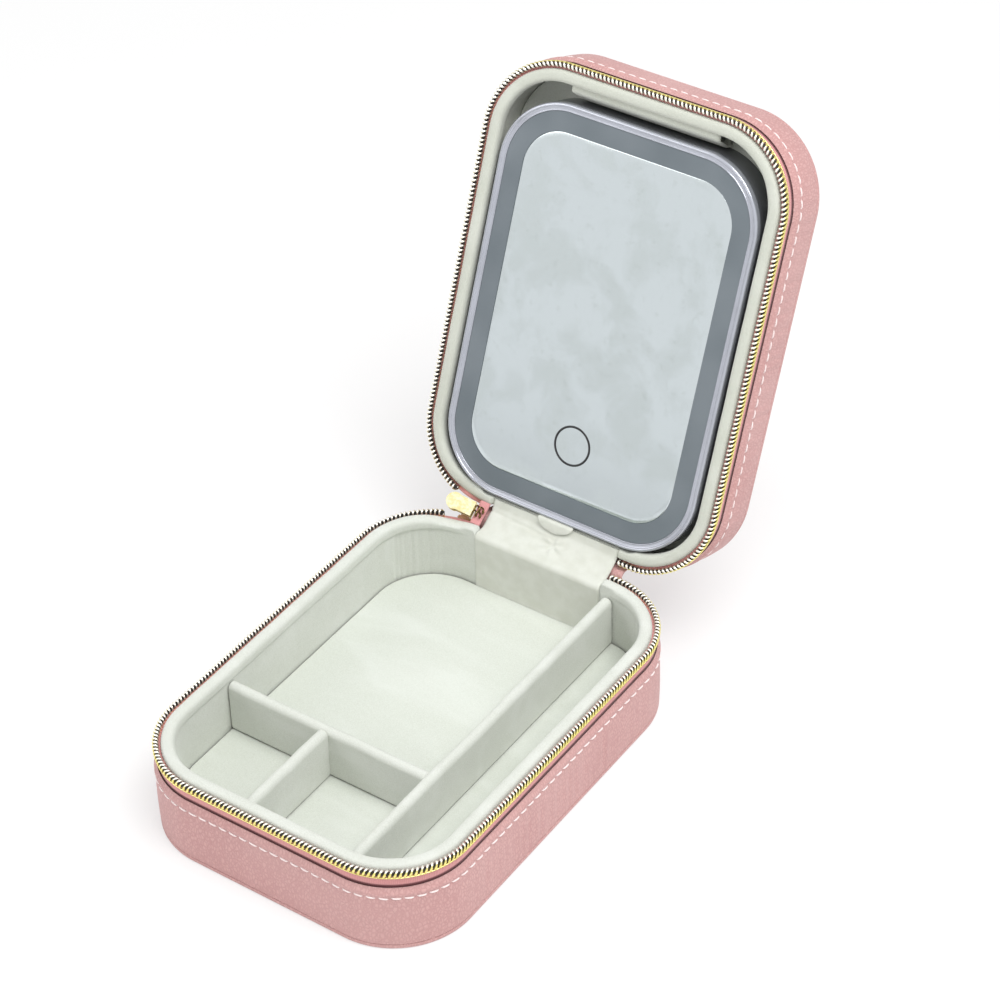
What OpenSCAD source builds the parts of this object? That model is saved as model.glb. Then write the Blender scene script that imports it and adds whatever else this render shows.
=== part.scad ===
// Zip-around travel vanity box with a lit mirror in its lid.
// Millimetres, +Z up. The origin is at the centre of the base's resting face.
// The hinge runs along X at the rear (+Y). The lid is shown open.

/* [Box outline] */
// Width of both halves, along the hinge
box_w = 123; // [110:1:150]
// Length of both halves, front to rear
box_l = 168; // [156:1:210]
// Radius of the four upright corners
corner_r = 30; // [26:1:36]
// Height of the leather side of the base
base_h = 28; // [24:1:45]
// Height of the leather side of the lid
lid_h = 18.4; // [17:0.2:32]
// Angle of the open lid from closed
open_deg = 111.4; // [95:0.2:120]

/* [Walls] */
// Thickness of the leather
leather_t = 1.1; // [0.8:0.1:1.6]
// Thickness of the board in the sides
side_board_t = 1.8; // [1.5:0.1:3]
// Thickness of the board in the bottom of the base
bottom_board_t = 4; // [2:0.2:5]
// Thickness of the board in the top of the lid
top_board_t = 1.8; // [1.2:0.2:3]
// Height of the seam between the sides and the bottom or top panel
seam_h = 2; // [1.6:0.1:3]
// Radius of the leather fold along the bottom and top edges
edge_r = 0.8; // [0.4:0.1:1]
// Thickness of the padded lining on the walls of the base
base_lining_t = 4; // [1.6:0.1:4.4]
// Thickness of the padded lining on the walls of the lid
lid_lining_t = 3.1; // [2:0.1:3.6]
// Width of the rolled rim of the base lining
base_rim_w = 4; // [3:0.1:5.6]
// Width of the rolled rim of the lid lining
lid_rim_w = 3.2; // [2.6:0.1:4]

/* [Floor] */
// Thickness of the foam under the floor
floor_foam_t = 1.2; // [1:0.1:6]
// Thickness of the floor board
floor_board_t = 2.7; // [1.2:0.1:4]
// Thickness of the velvet floor pad
floor_pad_t = 1.2; // [0.8:0.1:3]

/* [Dividers] */
// Thickness of a covered divider
divider_t = 4.2; // [3:0.1:6]
// Thickness of the board inside a divider
divider_board_t = 1.8; // [1:0.1:2.2]
// Height of the dividers above the velvet floor
divider_h = 20.6; // [12:0.2:21.6]
// Clear width of the long compartment at the right
long_room_w = 22; // [14:0.2:32]
// Clear length of the two front compartments
front_room_l = 43.7; // [30:0.1:60]
// Clear width of the front compartment at the left
left_room_w = 39.4; // [20:0.2:46]

/* [Zip] */
// Height of tape and teeth that stands out of the leather
zip_show = 7.9; // [6.5:0.1:9]
// Gap between the two rows of teeth, to each side of the parting plane
teeth_gap = 0.3; // [0.2:0.05:0.5]
// Height of a row of teeth
teeth_h = 2.3; // [2:0.1:3]
// Thickness of the teeth, through the tape
teeth_t = 1.7; // [1.4:0.1:2]
// Distance from one tooth to the next
tooth_pitch = 1.7; // [1.4:0.1:2.4]
// Depth of the notches between the teeth
tooth_notch = 0.35; // [0.2:0.05:0.5]
// Thickness of the tape
tape_t = 0.65; // [0.4:0.05:0.8]
// Depth of tape sewn in behind the leather
tape_tuck = 6; // [4:0.5:10]
// Distance from the corners at which the teeth end behind the hinge
zip_end = 3; // [1:0.1:3.2]
// Length of the slider
slider_l = 11; // [9:0.5:12]
// Height of the slider
slider_h = 6.4; // [5.8:0.1:6.6]
// Thickness of the slider's two plates
slider_plate_t = 0.8; // [0.6:0.1:1]
// Angle round the corner at which the slider is parked
slider_at = 12; // [10:0.5:14]
// Length of the pull
pull_l = 25; // [15:0.5:25]
// Width of the pull
pull_w = 7; // [5:0.5:8]
// Thickness of the pull
pull_t = 1.2; // [1:0.1:1.6]

/* [Hinge] */
// Distance of the hinge line behind the box
hinge_back = 1.5; // [1.3:0.1:2]
// Distance of the outer leather strip's ends from the corners
strip_end = 0.5; // [0.5:0.5:8]
// Thickness of the outer leather strip
strip_t = 1.2; // [0.8:0.1:1.4]
// Height of strip sewn to each half
strip_lap = 10; // [6:0.5:14]
// Distance of the inner fabric flap's ends from the corners
flap_end_in = 3.5; // [3.5:0.5:7]
// Thickness of the inner fabric flap
flap_t = 0.8; // [0.5:0.1:1]
// Depth by which both rims are lowered under the flap
flap_drop = 2.4; // [2.2:0.1:3]

/* [Mirror] */
// Gap between the mirror unit and the lining at either side
mirror_side_gap = 3; // [0.5:0.1:5]
// Gap between the mirror unit and the lining at the hinge end
mirror_hinge_gap = 0.9; // [0.8:0.1:4]
// Room for the padded bar between the mirror unit and the lining at the free end
bar_room = 7.6; // [4:0.1:9]
// Corner radius of the mirror unit
mirror_r = 25.5; // [20:0.5:26]
// Depth of the mirror unit
mirror_d = 14; // [12:0.5:14]
// Distance of the mirror unit behind the mouth of the lid
mirror_recess = 1; // [0.9:0.1:3]
// Wall thickness of the rear case
case_t = 1.4; // [1.2:0.1:2.4]
// Width of the silver rim of the mirror
bezel_w = 2.9; // [2:0.1:4]
// Depth of the silver rim
bezel_d = 2.7; // [2.2:0.1:3.4]
// Height of the silver rim above the light ring
bezel_lip = 0.6; // [0.3:0.1:1.2]
// Width of the light ring at the sides of the glass
light_side_w = 7; // [5:0.1:12]
// Width of the light ring at the free end of the glass
light_free_w = 7.2; // [5:0.1:14]
// Width of the light ring at the hinge end of the glass
light_hinge_w = 7.4; // [5:0.1:14]
// Corner radius of the glass
glass_r = 15.5; // [10:0.5:20]
// Thickness of the glass
glass_t = 1.8; // [1.4:0.1:2.4]
// Thickness of the light ring's cover
diffuser_t = 1.4; // [1:0.1:2]
// Outside diameter of the touch ring
touch_d = 15; // [10:0.2:18]
// Line width of the touch ring
touch_line = 0.9; // [0.5:0.1:1.5]
// Distance of the touch ring from the hinge end of the glass
touch_from_end = 18.8; // [12:0.2:30]
// Spacing of the lamps along the light ring
lamp_pitch = 12.5; // [8:0.5:25]
// Width of the padded bar at the free end of the mirror
bar_w = 60; // [40:1:70]
// Width of the fabric pull tab
tab_w = 15; // [10:0.5:20]

/* [Hidden] */

$fn = 96;
eps = 0.01;
fit_gap = 0.2;                      // between a loose board or pad and the wall round it
soft_gap = 0.3;                     // between soft pieces on different halves

half_w = box_w / 2;
half_l = box_l / 2;
mouth = zip_show;                   // from the leather edge to the parting plane
part_z = base_h + mouth;
total_h = part_z + mouth + lid_h;
hinge_y = half_l + hinge_back;
hinge_z = part_z;

core_in = leather_t + side_board_t; // inset of the board's inner face
tape_in = leather_t + tape_t;       // inset of the tape's inner face
teeth_mid = leather_t + tape_t / 2; // inset of the middle of the teeth
teeth_in = teeth_mid + teeth_t / 2;
rim_out = teeth_in + 0.5;           // inset of the rim's outer face
base_wall_in = core_in + base_lining_t;
base_rim_in = rim_out + base_rim_w;
lid_wall_in = max(core_in + lid_lining_t, rim_out + lid_rim_w);

board_top = leather_t + bottom_board_t;
foam_top = board_top + floor_foam_t;
floor_board_top = foam_top + floor_board_t;
floor_z = floor_board_top + floor_pad_t;
corner_x = half_w - corner_r;       // where the straight rear edge ends
corner_y = half_l - corner_r;
strip_w = 2 * (corner_x - strip_end);
flap_w = 2 * (corner_x - flap_end_in);
zip_gap = corner_x - zip_end;       // half of the stretch without teeth

mirror_w = 2 * (half_w - lid_wall_in - mirror_side_gap);
mirror_l = 2 * (half_l - lid_wall_in) - bar_room - mirror_hinge_gap;
mirror_shift = (bar_room - mirror_hinge_gap) / 2;
glass_w = mirror_w - 2 * (bezel_w + light_side_w);
glass_l = mirror_l - 2 * bezel_w - light_free_w - light_hinge_w;
glass_shift = (light_hinge_w - light_free_w) / 2;

// ---- outlines and sweeps ----

module outline(inset) {
    w = half_w - inset;
    l = half_l - inset;
    round_rect(w, l, corner_r - inset);
}

module round_rect(w, l, r) {
    square([2 * w, 2 * (l - r)], center = true);
    square([2 * (w - r), 2 * l], center = true);
    for (x = [-1, 1], y = [-1, 1]) translate([x * (w - r), y * (l - r)]) circle(r);
}

module slab(inset, z0, z1) {
    translate([0, 0, z0]) linear_extrude(z1 - z0) outline(inset);
}

module wall(out_inset, in_inset, z0, z1) {
    difference() {
        slab(out_inset, z0, z1);
        slab(in_inset, z0 - 1, z1 + 1);
    }
}

// Carries a profile round the outline. In the profile, x is minus the inset and y is the height.
module round_the_box() {
    for (turn = [0, 180]) rotate([0, 0, turn]) {
        translate([half_w, 0, 0]) rotate([90, 0, 0])
            linear_extrude(2 * corner_y, center = true) children();
        rotate([0, 0, 90]) translate([half_l, 0, 0]) rotate([90, 0, 0])
            linear_extrude(2 * corner_x, center = true) children();
        translate([corner_x, corner_y, 0])
            rotate_extrude(angle = 90) translate([corner_r, 0]) children();
        translate([-corner_x, corner_y, 0]) rotate([0, 0, 90])
            rotate_extrude(angle = 90) translate([corner_r, 0]) children();
    }
}

// ---- where the two halves stand ----

// The lid's own height counts from its outer face towards its mouth, as the base's does.
module closed_lid() {
    translate([0, 0, total_h]) mirror([0, 0, 1]) children();
}

module turned_about_hinge(deg) {
    translate([0, hinge_y, hinge_z]) rotate([-deg, 0, 0]) translate([0, -hinge_y, -hinge_z]) children();
}

module open_lid() {
    turned_about_hinge(open_deg) closed_lid() children();
}

// The slider stays half way between the two halves as they part.
module half_open() {
    turned_about_hinge(open_deg / 2) children();
}

// A point of the closed lid, [y, z], as it lies when the lid is open
function opened(p) = let (y = p[0] - hinge_y, z = p[1] - hinge_z)
    [hinge_y + y * cos(open_deg) + z * sin(open_deg),
     hinge_z - y * sin(open_deg) + z * cos(open_deg)];

// ---- path of the zip ----

// Lengths of the path's straights and arcs, from the middle of the rear, clockwise from above
function stretches(inset) = let (a = corner_x, b = 2 * corner_y, arc = PI / 2 * (corner_r - inset))
    [a, arc, b, arc, 2 * a, arc, b, arc, a];

function heading(deg) = [cos(deg), sin(deg)];

// [x, y, heading] at length s along the path that lies inset from the leather
function on_path(s, inset, i = 0, p = undef, h = 0) =
    let (len = stretches(inset)[i], r = corner_r - inset,
         from = is_undef(p) ? [0, half_l - inset] : p,
         bend = i % 2 == 1,
         run = i == 8 ? s : min(s, len),
         turn = bend ? run / r * 180 / PI : 0,
         to = bend ? from + r * (heading(h - 90) - heading(h - 90 - turn))
                   : from + run * heading(h))
    s <= len || i == 8 ? [to[0], to[1], h - turn] : on_path(s - len, inset, i + 1, to, h - turn);

function path_length(inset, i = 8) = i < 0 ? 0 : stretches(inset)[i] + path_length(inset, i - 1);

// One side of a row of teeth: square teeth that stand out by tooth_notch, offset side * teeth_t / 2
function tooth_side(s0, pitch, count, side) = [
    for (i = [0 : count - 1], k = [0 : 3])
        let (s = s0 + (i + [0.22, 0.22, 0.78, 0.78][k]) * pitch,
             out = side * (teeth_t / 2 - (k == 0 || k == 3 ? tooth_notch : 0)),
             p = on_path(s, teeth_mid))
        [p[0], p[1]] + out * heading(p[2] + 90)];

// A row of teeth from s0 to s1, which holds a whole number of them
module tooth_row(s0, s1, h) {
    count = round((s1 - s0) / tooth_pitch);
    pitch = (s1 - s0) / count;
    outer = tooth_side(s0, pitch, count, 1);
    inner = tooth_side(s0, pitch, count, -1);
    linear_extrude(h) polygon(concat(outer, [for (i = [len(inner) - 1 : -1 : 0]) inner[i]]));
}

chain_l = path_length(teeth_mid);
// Place along the path, counted back from its end, where the slider leaves the two open rows
slider_back = corner_x + (slider_at * PI / 180) * (corner_r - teeth_mid) + slider_l / 2;
teeth_z = part_z - teeth_gap - teeth_h;

// ---- shared pieces of the two halves, h is the height of the leather ----

module end_panel() {
    slab(edge_r, 0, leather_t);
    round_the_box() {
        translate([-leather_t, edge_r]) square([leather_t, seam_h - edge_r]);
        difference() {
            translate([-edge_r, edge_r]) circle(edge_r);
            translate([-3 * edge_r, -edge_r]) square([2 * edge_r, 4 * edge_r]);
        }
        translate([-leather_t, 0]) square([leather_t - edge_r, leather_t]);
    }
}

module side_cover(h) {
    round_the_box() {
        translate([-leather_t, seam_h]) square([leather_t, h - leather_t / 2 - seam_h]);
        translate([-leather_t / 2, h - leather_t / 2]) circle(leather_t / 2);
    }
}

module core(h, board_t) {
    difference() {
        slab(leather_t, leather_t, h);
        slab(core_in, leather_t + board_t, h + 1);
        wall(0, tape_in, h - tape_tuck, h + 1);
    }
}

module tape(h) {
    difference() {
        wall(leather_t, tape_in, h - tape_tuck, h + mouth - teeth_gap - teeth_h);
        translate([-corner_x, half_l - corner_r / 2, h])
            cube([corner_x + zip_gap, corner_r, 2 * mouth]);
    }
}

// A padded wall from z0 up to the rim, which rolls outwards over the board and, from roll_z,
// inwards over the wall
module lining(h, wall_in, rim_in, z0, roll_z) {
    rim_w = rim_in - rim_out;
    rim_top = h + mouth - teeth_gap;
    difference() {
        union() {
            wall(core_in, wall_in, z0, h + eps);
            round_the_box() {
                translate([-wall_in, h]) square([wall_in - rim_out, rim_top - rim_w / 2 - h]);
                translate([-rim_in, roll_z]) square([rim_w, rim_top - rim_w / 2 - roll_z]);
                translate([-rim_in + rim_w / 2, rim_top - rim_w / 2]) circle(rim_w / 2);
            }
        }
        // seat for the flap
        translate([-flap_w / 2 - soft_gap, half_l - corner_r / 2, rim_top - flap_drop])
            cube([flap_w + 2 * soft_gap, corner_r, 2 * flap_drop]);
        // room for the slider to turn about the hinge line
        slider_room(h + mouth);
    }
}

module slider_room(z) {
    plate_r = norm([half_l + hinge_back - slider_far_y, slider_h / 2]) + soft_gap;
    run_r = norm([hinge_back + teeth_in, teeth_h + teeth_gap]) + soft_gap;
    far_x = corner_x + corner_r * sin(slider_at) + slider_l / 2 + 2;
    near_x = corner_x - 2;
    translate([-far_x, hinge_y, z]) rotate([0, 90, 0]) cylinder(h = far_x - near_x, r = plate_r);
    translate([-near_x - eps, hinge_y, z]) rotate([0, 90, 0]) cylinder(h = near_x - zip_gap + 2, r = run_r);
}

// ---- base ----

module base_bottom_cover() { color([0.79, 0.60, 0.59]) end_panel(); }

module base_core() { color([0.72, 0.62, 0.48]) core(base_h, bottom_board_t); }

module base_side_cover() { color([0.84, 0.65, 0.64]) side_cover(base_h); }

module base_zip_tape() { color([0.80, 0.55, 0.56]) tape(base_h); }

module base_zip_teeth() {
    color([0.83, 0.72, 0.42]) translate([0, 0, teeth_z])
        tooth_row(zip_gap, chain_l - slider_back, teeth_h);
}

module base_lining_wall() {
    color([0.88, 0.89, 0.84])
        lining(base_h, base_wall_in, base_rim_in, board_top, floor_z + divider_h + fit_gap);
}

module base_foam() { color([0.93, 0.90, 0.80]) slab(base_wall_in + fit_gap, board_top, foam_top); }

module base_floor_board() {
    color([0.72, 0.62, 0.48]) slab(base_wall_in + fit_gap, foam_top, floor_board_top);
}

module base_floor_pad() {
    color([0.91, 0.93, 0.89]) slab(base_wall_in + fit_gap, floor_board_top, floor_z);
}

// ---- dividers ----

// A divider of length l along X, with its left end at the origin and its foot at z = 0
module divider_skin(l) {
    rotate([90, 0, 90]) linear_extrude(l) difference() {
        divider_outline();
        square([divider_board_t, 2 * (divider_h - divider_t / 2)], center = true);
    }
}

module divider_outline() {
    translate([-divider_t / 2, 0]) square([divider_t, divider_h - divider_t / 2]);
    translate([0, divider_h - divider_t / 2]) circle(divider_t / 2);
}

module divider_board(l) {
    translate([0, -divider_board_t / 2, 0]) cube([l, divider_board_t, divider_h - divider_t / 2]);
}

room_w = 2 * (half_w - base_wall_in);
room_l = 2 * (half_l - base_wall_in);
long_x = room_w / 2 - long_room_w - divider_t / 2;
cross_y = -room_l / 2 + front_room_l + divider_t / 2;
short_x = -room_w / 2 + left_room_w + divider_t / 2;
long_l = room_l - 2 * fit_gap;
cross_l = long_x - divider_t / 2 + room_w / 2 - fit_gap;
short_l = front_room_l - fit_gap;

module at_long() { translate([long_x, -long_l / 2, floor_z]) rotate([0, 0, 90]) children(); }

module at_cross() { translate([fit_gap - room_w / 2, cross_y, floor_z]) children(); }

module at_short() { translate([short_x, fit_gap - room_l / 2, floor_z]) rotate([0, 0, 90]) children(); }

module divider_long() { color([0.87, 0.89, 0.84]) at_long() divider_skin(long_l); }

module divider_cross() { color([0.86, 0.88, 0.83]) at_cross() divider_skin(cross_l); }

module divider_short() { color([0.85, 0.88, 0.82]) at_short() divider_skin(short_l); }

module divider_boards() {
    color([0.72, 0.62, 0.48]) {
        at_long() divider_board(long_l);
        at_cross() divider_board(cross_l);
        at_short() divider_board(short_l);
    }
}

// ---- hinge ----

// A point at t of the cubic curve through a and d, which it leaves towards b and reaches from c
function bezier(a, b, c, d, t) =
    pow(1 - t, 3) * a + 3 * t * pow(1 - t, 2) * b + 3 * t * t * (1 - t) * c + pow(t, 3) * d;

function unit(v) = v / norm(v);

// The line's points moved sideways by off, to the left of its run
function beside(line, off) = [for (i = [0 : len(line) - 1])
    let (a = line[max(i - 1, 0)], b = line[min(i + 1, len(line) - 1)], d = unit(b - a))
    line[i] + off * [-d[1], d[0]]];

// A bent sheet of width w across X, t thick, that follows the [y, z] points of line
module bent_sheet(line, w, t) {
    side_a = beside(line, t / 2);
    side_b = beside(line, -t / 2);
    translate([-w / 2, 0, 0]) rotate([90, 0, 90]) linear_extrude(w)
        polygon(concat(side_a, [for (i = [len(side_b) - 1 : -1 : 0]) side_b[i]]));
}

bend_steps = 14;
lid_edge_z = part_z + mouth;        // leather edge of the closed lid
lid_gap = 0.1;                      // between the strip and the lid's leather

strip_y = half_l + strip_t / 2;
strip_lid_y = strip_y + lid_gap;
strip_from = [strip_y, base_h];
strip_to = opened([strip_lid_y, lid_edge_z]);
strip_to_dir = unit(opened([strip_lid_y, lid_edge_z + 1]) - strip_to);
strip_pull = mouth;
strip_line = concat([[strip_y, base_h - strip_lap]],
    [for (i = [0 : bend_steps]) bezier(strip_from, strip_from + [0, strip_pull],
        strip_to - strip_pull * strip_to_dir, strip_to, i / bend_steps)],
    [opened([strip_lid_y, lid_edge_z + strip_lap])]);

module hinge_strip() { color([0.84, 0.65, 0.64]) bent_sheet(strip_line, strip_w, strip_t); }

flap_seat_z = part_z - teeth_gap - flap_drop;
flap_wall_y = half_l - base_wall_in - flap_t / 2 - eps;
flap_ease = 0.15;                   // between the flap and the edge of the rim it turns over
flap_turn_y = half_l - base_rim_in - flap_t / 2 - flap_ease;
flap_rise = flap_seat_z + flap_t / 2 + flap_ease;
flap_turn_r = 0.7;
flap_from = [half_l - rim_out, flap_rise];
flap_lid_z = part_z + teeth_gap + flap_drop - flap_t / 2 - lid_gap;
flap_to = opened([half_l - rim_out, flap_lid_z]);
flap_end = opened([half_l - lid_wall_in + soft_gap, flap_lid_z]);
flap_pull = 1.2;
flap_line = concat(
    [[flap_wall_y, floor_z], [flap_wall_y, base_h - 3], [flap_turn_y, base_h - 1]],
    [for (a = [180 : -22.5 : 90])
        [flap_turn_y + flap_turn_r, flap_rise - flap_turn_r] + flap_turn_r * heading(a)],
    [for (i = [0 : bend_steps]) bezier(flap_from, flap_from + [flap_pull, 0],
        flap_to - flap_pull * unit(flap_end - flap_to), flap_to, i / bend_steps)],
    [flap_end]);

module hinge_flap() { color([0.90, 0.91, 0.86]) bent_sheet(flap_line, flap_w, flap_t); }

// ---- slider ----

slider_reach = slider_plate_t + 0.1 + teeth_t / 2;    // from the middle of the teeth
slider_far_y = corner_y + (corner_r - teeth_mid - slider_reach) * cos(slider_at)
    - slider_l / 2 * sin(slider_at);
wedge_l = slider_l * 0.3;
wedge_h = 2;
bail_r = 0.6;

// Stands at the slider's middle, x along the zip and y outwards
module at_slider() {
    half_open() translate([-corner_x, corner_y, part_z])
        rotate([0, 0, slider_at]) translate([0, corner_r - teeth_mid, 0]) children();
}

module slider_plate() {
    rotate([90, 0, 0]) linear_extrude(slider_plate_t, center = true) union() {
        translate([-slider_l / 2 + slider_h / 2, 0]) circle(slider_h / 2);
        translate([-slider_l / 2 + slider_h / 2, -slider_h / 2 + 0.4])
            square([slider_l - slider_h / 2, slider_h - 0.8]);
    }
}

module zip_slider() {
    color([0.90, 0.82, 0.55]) {
        at_slider() {
            for (side = [-1, 1])
                translate([0, side * (slider_reach - slider_plate_t / 2), 0]) slider_plate();
            translate([-slider_l / 2 + 0.4, -slider_reach + eps, -wedge_h / 2])
                cube([wedge_l, 2 * (slider_reach - eps), wedge_h]);
        }
        // eyes that hold the bail pin on the hinge line
        for (side = [-1, 1]) translate([pull_x + side * (pull_w / 2 - 1.1), hinge_y, hinge_z])
            rotate([0, 90, 0]) cylinder(h = 1, r = 1.5, center = true);
        half_open() for (side = [-1, 1])
            translate([pull_x + side * (pull_w / 2 - 1.1) - 0.5, slider_outer_y, hinge_z - 1])
                cube([1, hinge_y - slider_outer_y, 2]);
        translate([pull_x, hinge_y, hinge_z]) rotate([0, 90, 0])
            cylinder(h = pull_w - 2.2, r = bail_r, center = true);
    }
}

pull_x = -corner_x - (corner_r - teeth_mid) * sin(slider_at);
slider_outer_y = corner_y + (corner_r - teeth_mid + slider_reach) * cos(slider_at)
    - (pull_w / 2) * sin(slider_at) - slider_plate_t / 2;

module zip_closed_run() {
    run_h = teeth_h + teeth_gap - soft_gap;
    color([0.80, 0.69, 0.40]) half_open() translate([0, 0, part_z - run_h])
        tooth_row(chain_l - slider_back + slider_l + fit_gap, chain_l - zip_gap, 2 * run_h);
}

// The sewn end of both tapes, folded behind the closed run as far as the leather strip
strip_mid = bezier(strip_from, strip_from + [0, strip_pull], strip_to - strip_pull * strip_to_dir,
    strip_to, 0.5);
tape_end_y = hinge_y - strip_t / 2 - soft_gap
    + (strip_mid - [hinge_y, hinge_z]) * [cos(open_deg / 2), -sin(open_deg / 2)];
tape_end_h = 8;

module zip_tape_end() {
    run_y = half_l - teeth_mid + teeth_t / 2;
    color([0.82, 0.60, 0.61]) half_open() translate([strip_end - corner_x, 0, part_z]) {
        translate([0, run_y, -tape_end_h / 2]) cube([zip_end - strip_end, tape_t, tape_end_h]);
        translate([0, run_y, -tape_t]) cube([zip_end - strip_end, tape_end_y - run_y, 2 * tape_t]);
    }
}

pull_eye_r = bail_r + 0.08;
pull_neck_w = pull_w - 3.4;

module zip_pull() {
    color([0.90, 0.82, 0.55]) translate([pull_x, hinge_y, hinge_z]) {
        rotate([0, 90, 0]) difference() {
            cylinder(h = pull_neck_w, r = pull_eye_r + 0.5, center = true);
            cylinder(h = pull_w, r = pull_eye_r, center = true);
        }
        difference() {
            union() {
                translate([-pull_neck_w / 2, 0.45, -6]) cube([pull_neck_w, pull_t, 5]);
                translate([0, pull_t + 0.45, -6]) rotate([90, 0, 0]) linear_extrude(pull_t) {
                    translate([-pull_w / 2, -(pull_l - 6 - pull_w / 2)])
                        square([pull_w, pull_l - 6 - pull_w / 2]);
                    translate([0, -(pull_l - 6 - pull_w / 2)]) circle(pull_w / 2);
                }
            }
            translate([0, 0, -(pull_l - pull_w / 2)]) rotate([90, 0, 0])
                cylinder(h = 4 * pull_t + 4, r = pull_w / 5, center = true);
        }
    }
}

// ---- lid, in the lid's own height ----

lid_mouth = lid_h + mouth;
mirror_front = lid_mouth - mirror_recess;
mirror_back = mirror_front - mirror_d;
panel_t = 1.3;
panel_top = mirror_back - fit_gap;
panel_z = panel_top - panel_t;
lid_board_top = leather_t + top_board_t;

module lid_top_cover() { color([0.93, 0.74, 0.74]) open_lid() end_panel(); }

module lid_core() { color([0.72, 0.62, 0.48]) open_lid() core(lid_h, top_board_t); }

module lid_side_cover() { color([0.86, 0.67, 0.66]) open_lid() side_cover(lid_h); }

module lid_zip_tape() {
    color([0.80, 0.55, 0.56]) open_lid() tape(lid_h);
}

module lid_zip_teeth() {
    color([0.83, 0.72, 0.42]) open_lid() translate([0, 0, lid_mouth - teeth_gap - teeth_h])
        tooth_row(zip_gap, chain_l - slider_back, teeth_h);
}

module lid_lining_wall() {
    color([0.88, 0.89, 0.84]) open_lid()
        lining(lid_h, lid_wall_in, lid_wall_in, lid_board_top, lid_h);
}

foam_block_w = 26;

module lid_foam_blocks() {
    color([0.93, 0.90, 0.80]) open_lid() for (x = [-1, 1], y = [-1, 0, 1])
        translate([x * (half_w / 2) - foam_block_w / 2, y * half_l * 0.55 - foam_block_w / 2,
            lid_board_top])
            cube([foam_block_w, foam_block_w, panel_z - lid_board_top]);
}

module lid_back_panel() {
    color([0.86, 0.88, 0.83]) open_lid() slab(lid_wall_in + fit_gap, panel_z, panel_top);
}

bar_drop = 2.3;                     // of the bar behind the mouth of the lid

module mirror_stop_bar() {
    bar_y0 = half_l - lid_wall_in;
    bar_y1 = bar_y0 - bar_room + soft_gap;
    bar_h = lid_mouth - bar_drop - panel_top;
    bar_round = min(1.5, (bar_y0 - bar_y1) / 2 - eps);
    color([0.88, 0.90, 0.82]) open_lid() translate([-bar_w / 2, -bar_y0, panel_top])
        rotate([90, 0, 90]) linear_extrude(bar_w) union() {
            square([bar_y0 - bar_y1, bar_h - bar_round]);
            translate([bar_round, 0]) square([bar_y0 - bar_y1 - 2 * bar_round, bar_h]);
            for (y = [bar_round, bar_y0 - bar_y1 - bar_round])
                translate([y, bar_h - bar_round]) circle(bar_round);
        }
}

tab_t = 1;
tab_l = 4;                          // how far the tab stands out over the flap
tab_strip_t = 0.4;
tab_z = lid_mouth - teeth_gap - flap_drop + flap_t + 3 * lid_gap;

module mirror_pull_tab() {
    strip_y1 = half_l - lid_wall_in;
    color([0.92, 0.93, 0.87]) open_lid() {
        translate([-tab_w / 4, strip_y1 - tab_strip_t, panel_top])
            cube([tab_w / 2, tab_strip_t, tab_z + tab_t - panel_top]);
        translate([0, strip_y1 - tab_strip_t, tab_z]) linear_extrude(tab_t)
            scale([1, tab_l / (tab_w / 2)]) intersection() {
                circle(tab_w / 2);
                translate([-tab_w / 2, 0]) square([tab_w, tab_w / 2]);
            }
    }
}

// ---- mirror unit, in the lid's own height, centred on the unit ----

module unit_slab(inset, z0, z1) {
    translate([0, 0, z0]) linear_extrude(z1 - z0)
        round_rect(mirror_w / 2 - inset, mirror_l / 2 - inset, mirror_r - inset);
}

// The glass outline grown by grow, between two heights
module glass_slab(grow, z0, z1) {
    translate([0, -glass_shift, z0]) linear_extrude(z1 - z0)
        round_rect(glass_w / 2 + grow, glass_l / 2 + grow, glass_r + grow);
}

module at_mirror() { open_lid() translate([0, mirror_shift, 0]) children(); }

face_z = mirror_front - bezel_lip;              // front of the light ring's cover
bezel_back = mirror_front - bezel_d;
glass_back = face_z - glass_t;
carrier_t = 1.5;
carrier_back = glass_back - carrier_t;
lamp_board_t = 1;
lamp_board_z = mirror_back + 6.4;
post_r = 2.6;
post_hole_r = 1;
posts = [for (x = [-1, 1], y = [-1, 1]) [x * glass_w * 0.36, y * glass_l * 0.38]];
rest_r = 1.5;
lamp_inset = (mirror_w - glass_w) / 4 + 0.6;
lamp_rests = [for (x = [-1, 1], y = [-0.5, 0, 0.5])
    [x * (mirror_w / 2 - lamp_inset - 1), y * mirror_l / 2]];
socket_w = 9;
socket_h = 3.2;
socket_l = 7;
socket_y = -mirror_l / 8;
socket_z = mirror_back + case_t + 1;
screw_head_d = 1.2;

module mirror_rear_case() {
    color([0.90, 0.91, 0.92]) at_mirror() difference() {
        union() {
            difference() {
                unit_slab(0, mirror_back, bezel_back);
                unit_slab(case_t, mirror_back + case_t, bezel_back + 1);
            }
            for (p = posts) translate([p[0], p[1], mirror_back])
                cylinder(h = carrier_back - mirror_back, r = post_r);
            for (p = lamp_rests) translate([p[0], p[1], mirror_back])
                cylinder(h = lamp_board_z - mirror_back, r = rest_r);
        }
        for (p = posts) translate([p[0], p[1], mirror_back - 1]) {
            cylinder(h = carrier_back - mirror_back + 2, r = post_hole_r);
            cylinder(h = 1 + screw_head_d + 0.3, r = 2 * post_hole_r + 0.1);
        }
        translate([mirror_w / 2 - 2 * case_t, socket_y - socket_w / 2 - 0.1, socket_z - 0.1])
            cube([3 * case_t, socket_w + 0.2, socket_h + 0.2]);
    }
}

module mirror_bezel() {
    color([0.80, 0.81, 0.84]) at_mirror() {
        difference() {
            unit_slab(0, bezel_back, mirror_front - 0.6);
            unit_slab(bezel_w, bezel_back - 1, mirror_front);
        }
        difference() {
            unit_slab(0.5, mirror_front - 0.6 - eps, mirror_front);
            unit_slab(bezel_w - 0.5, bezel_back - 1, mirror_front + 1);
        }
    }
}

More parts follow.
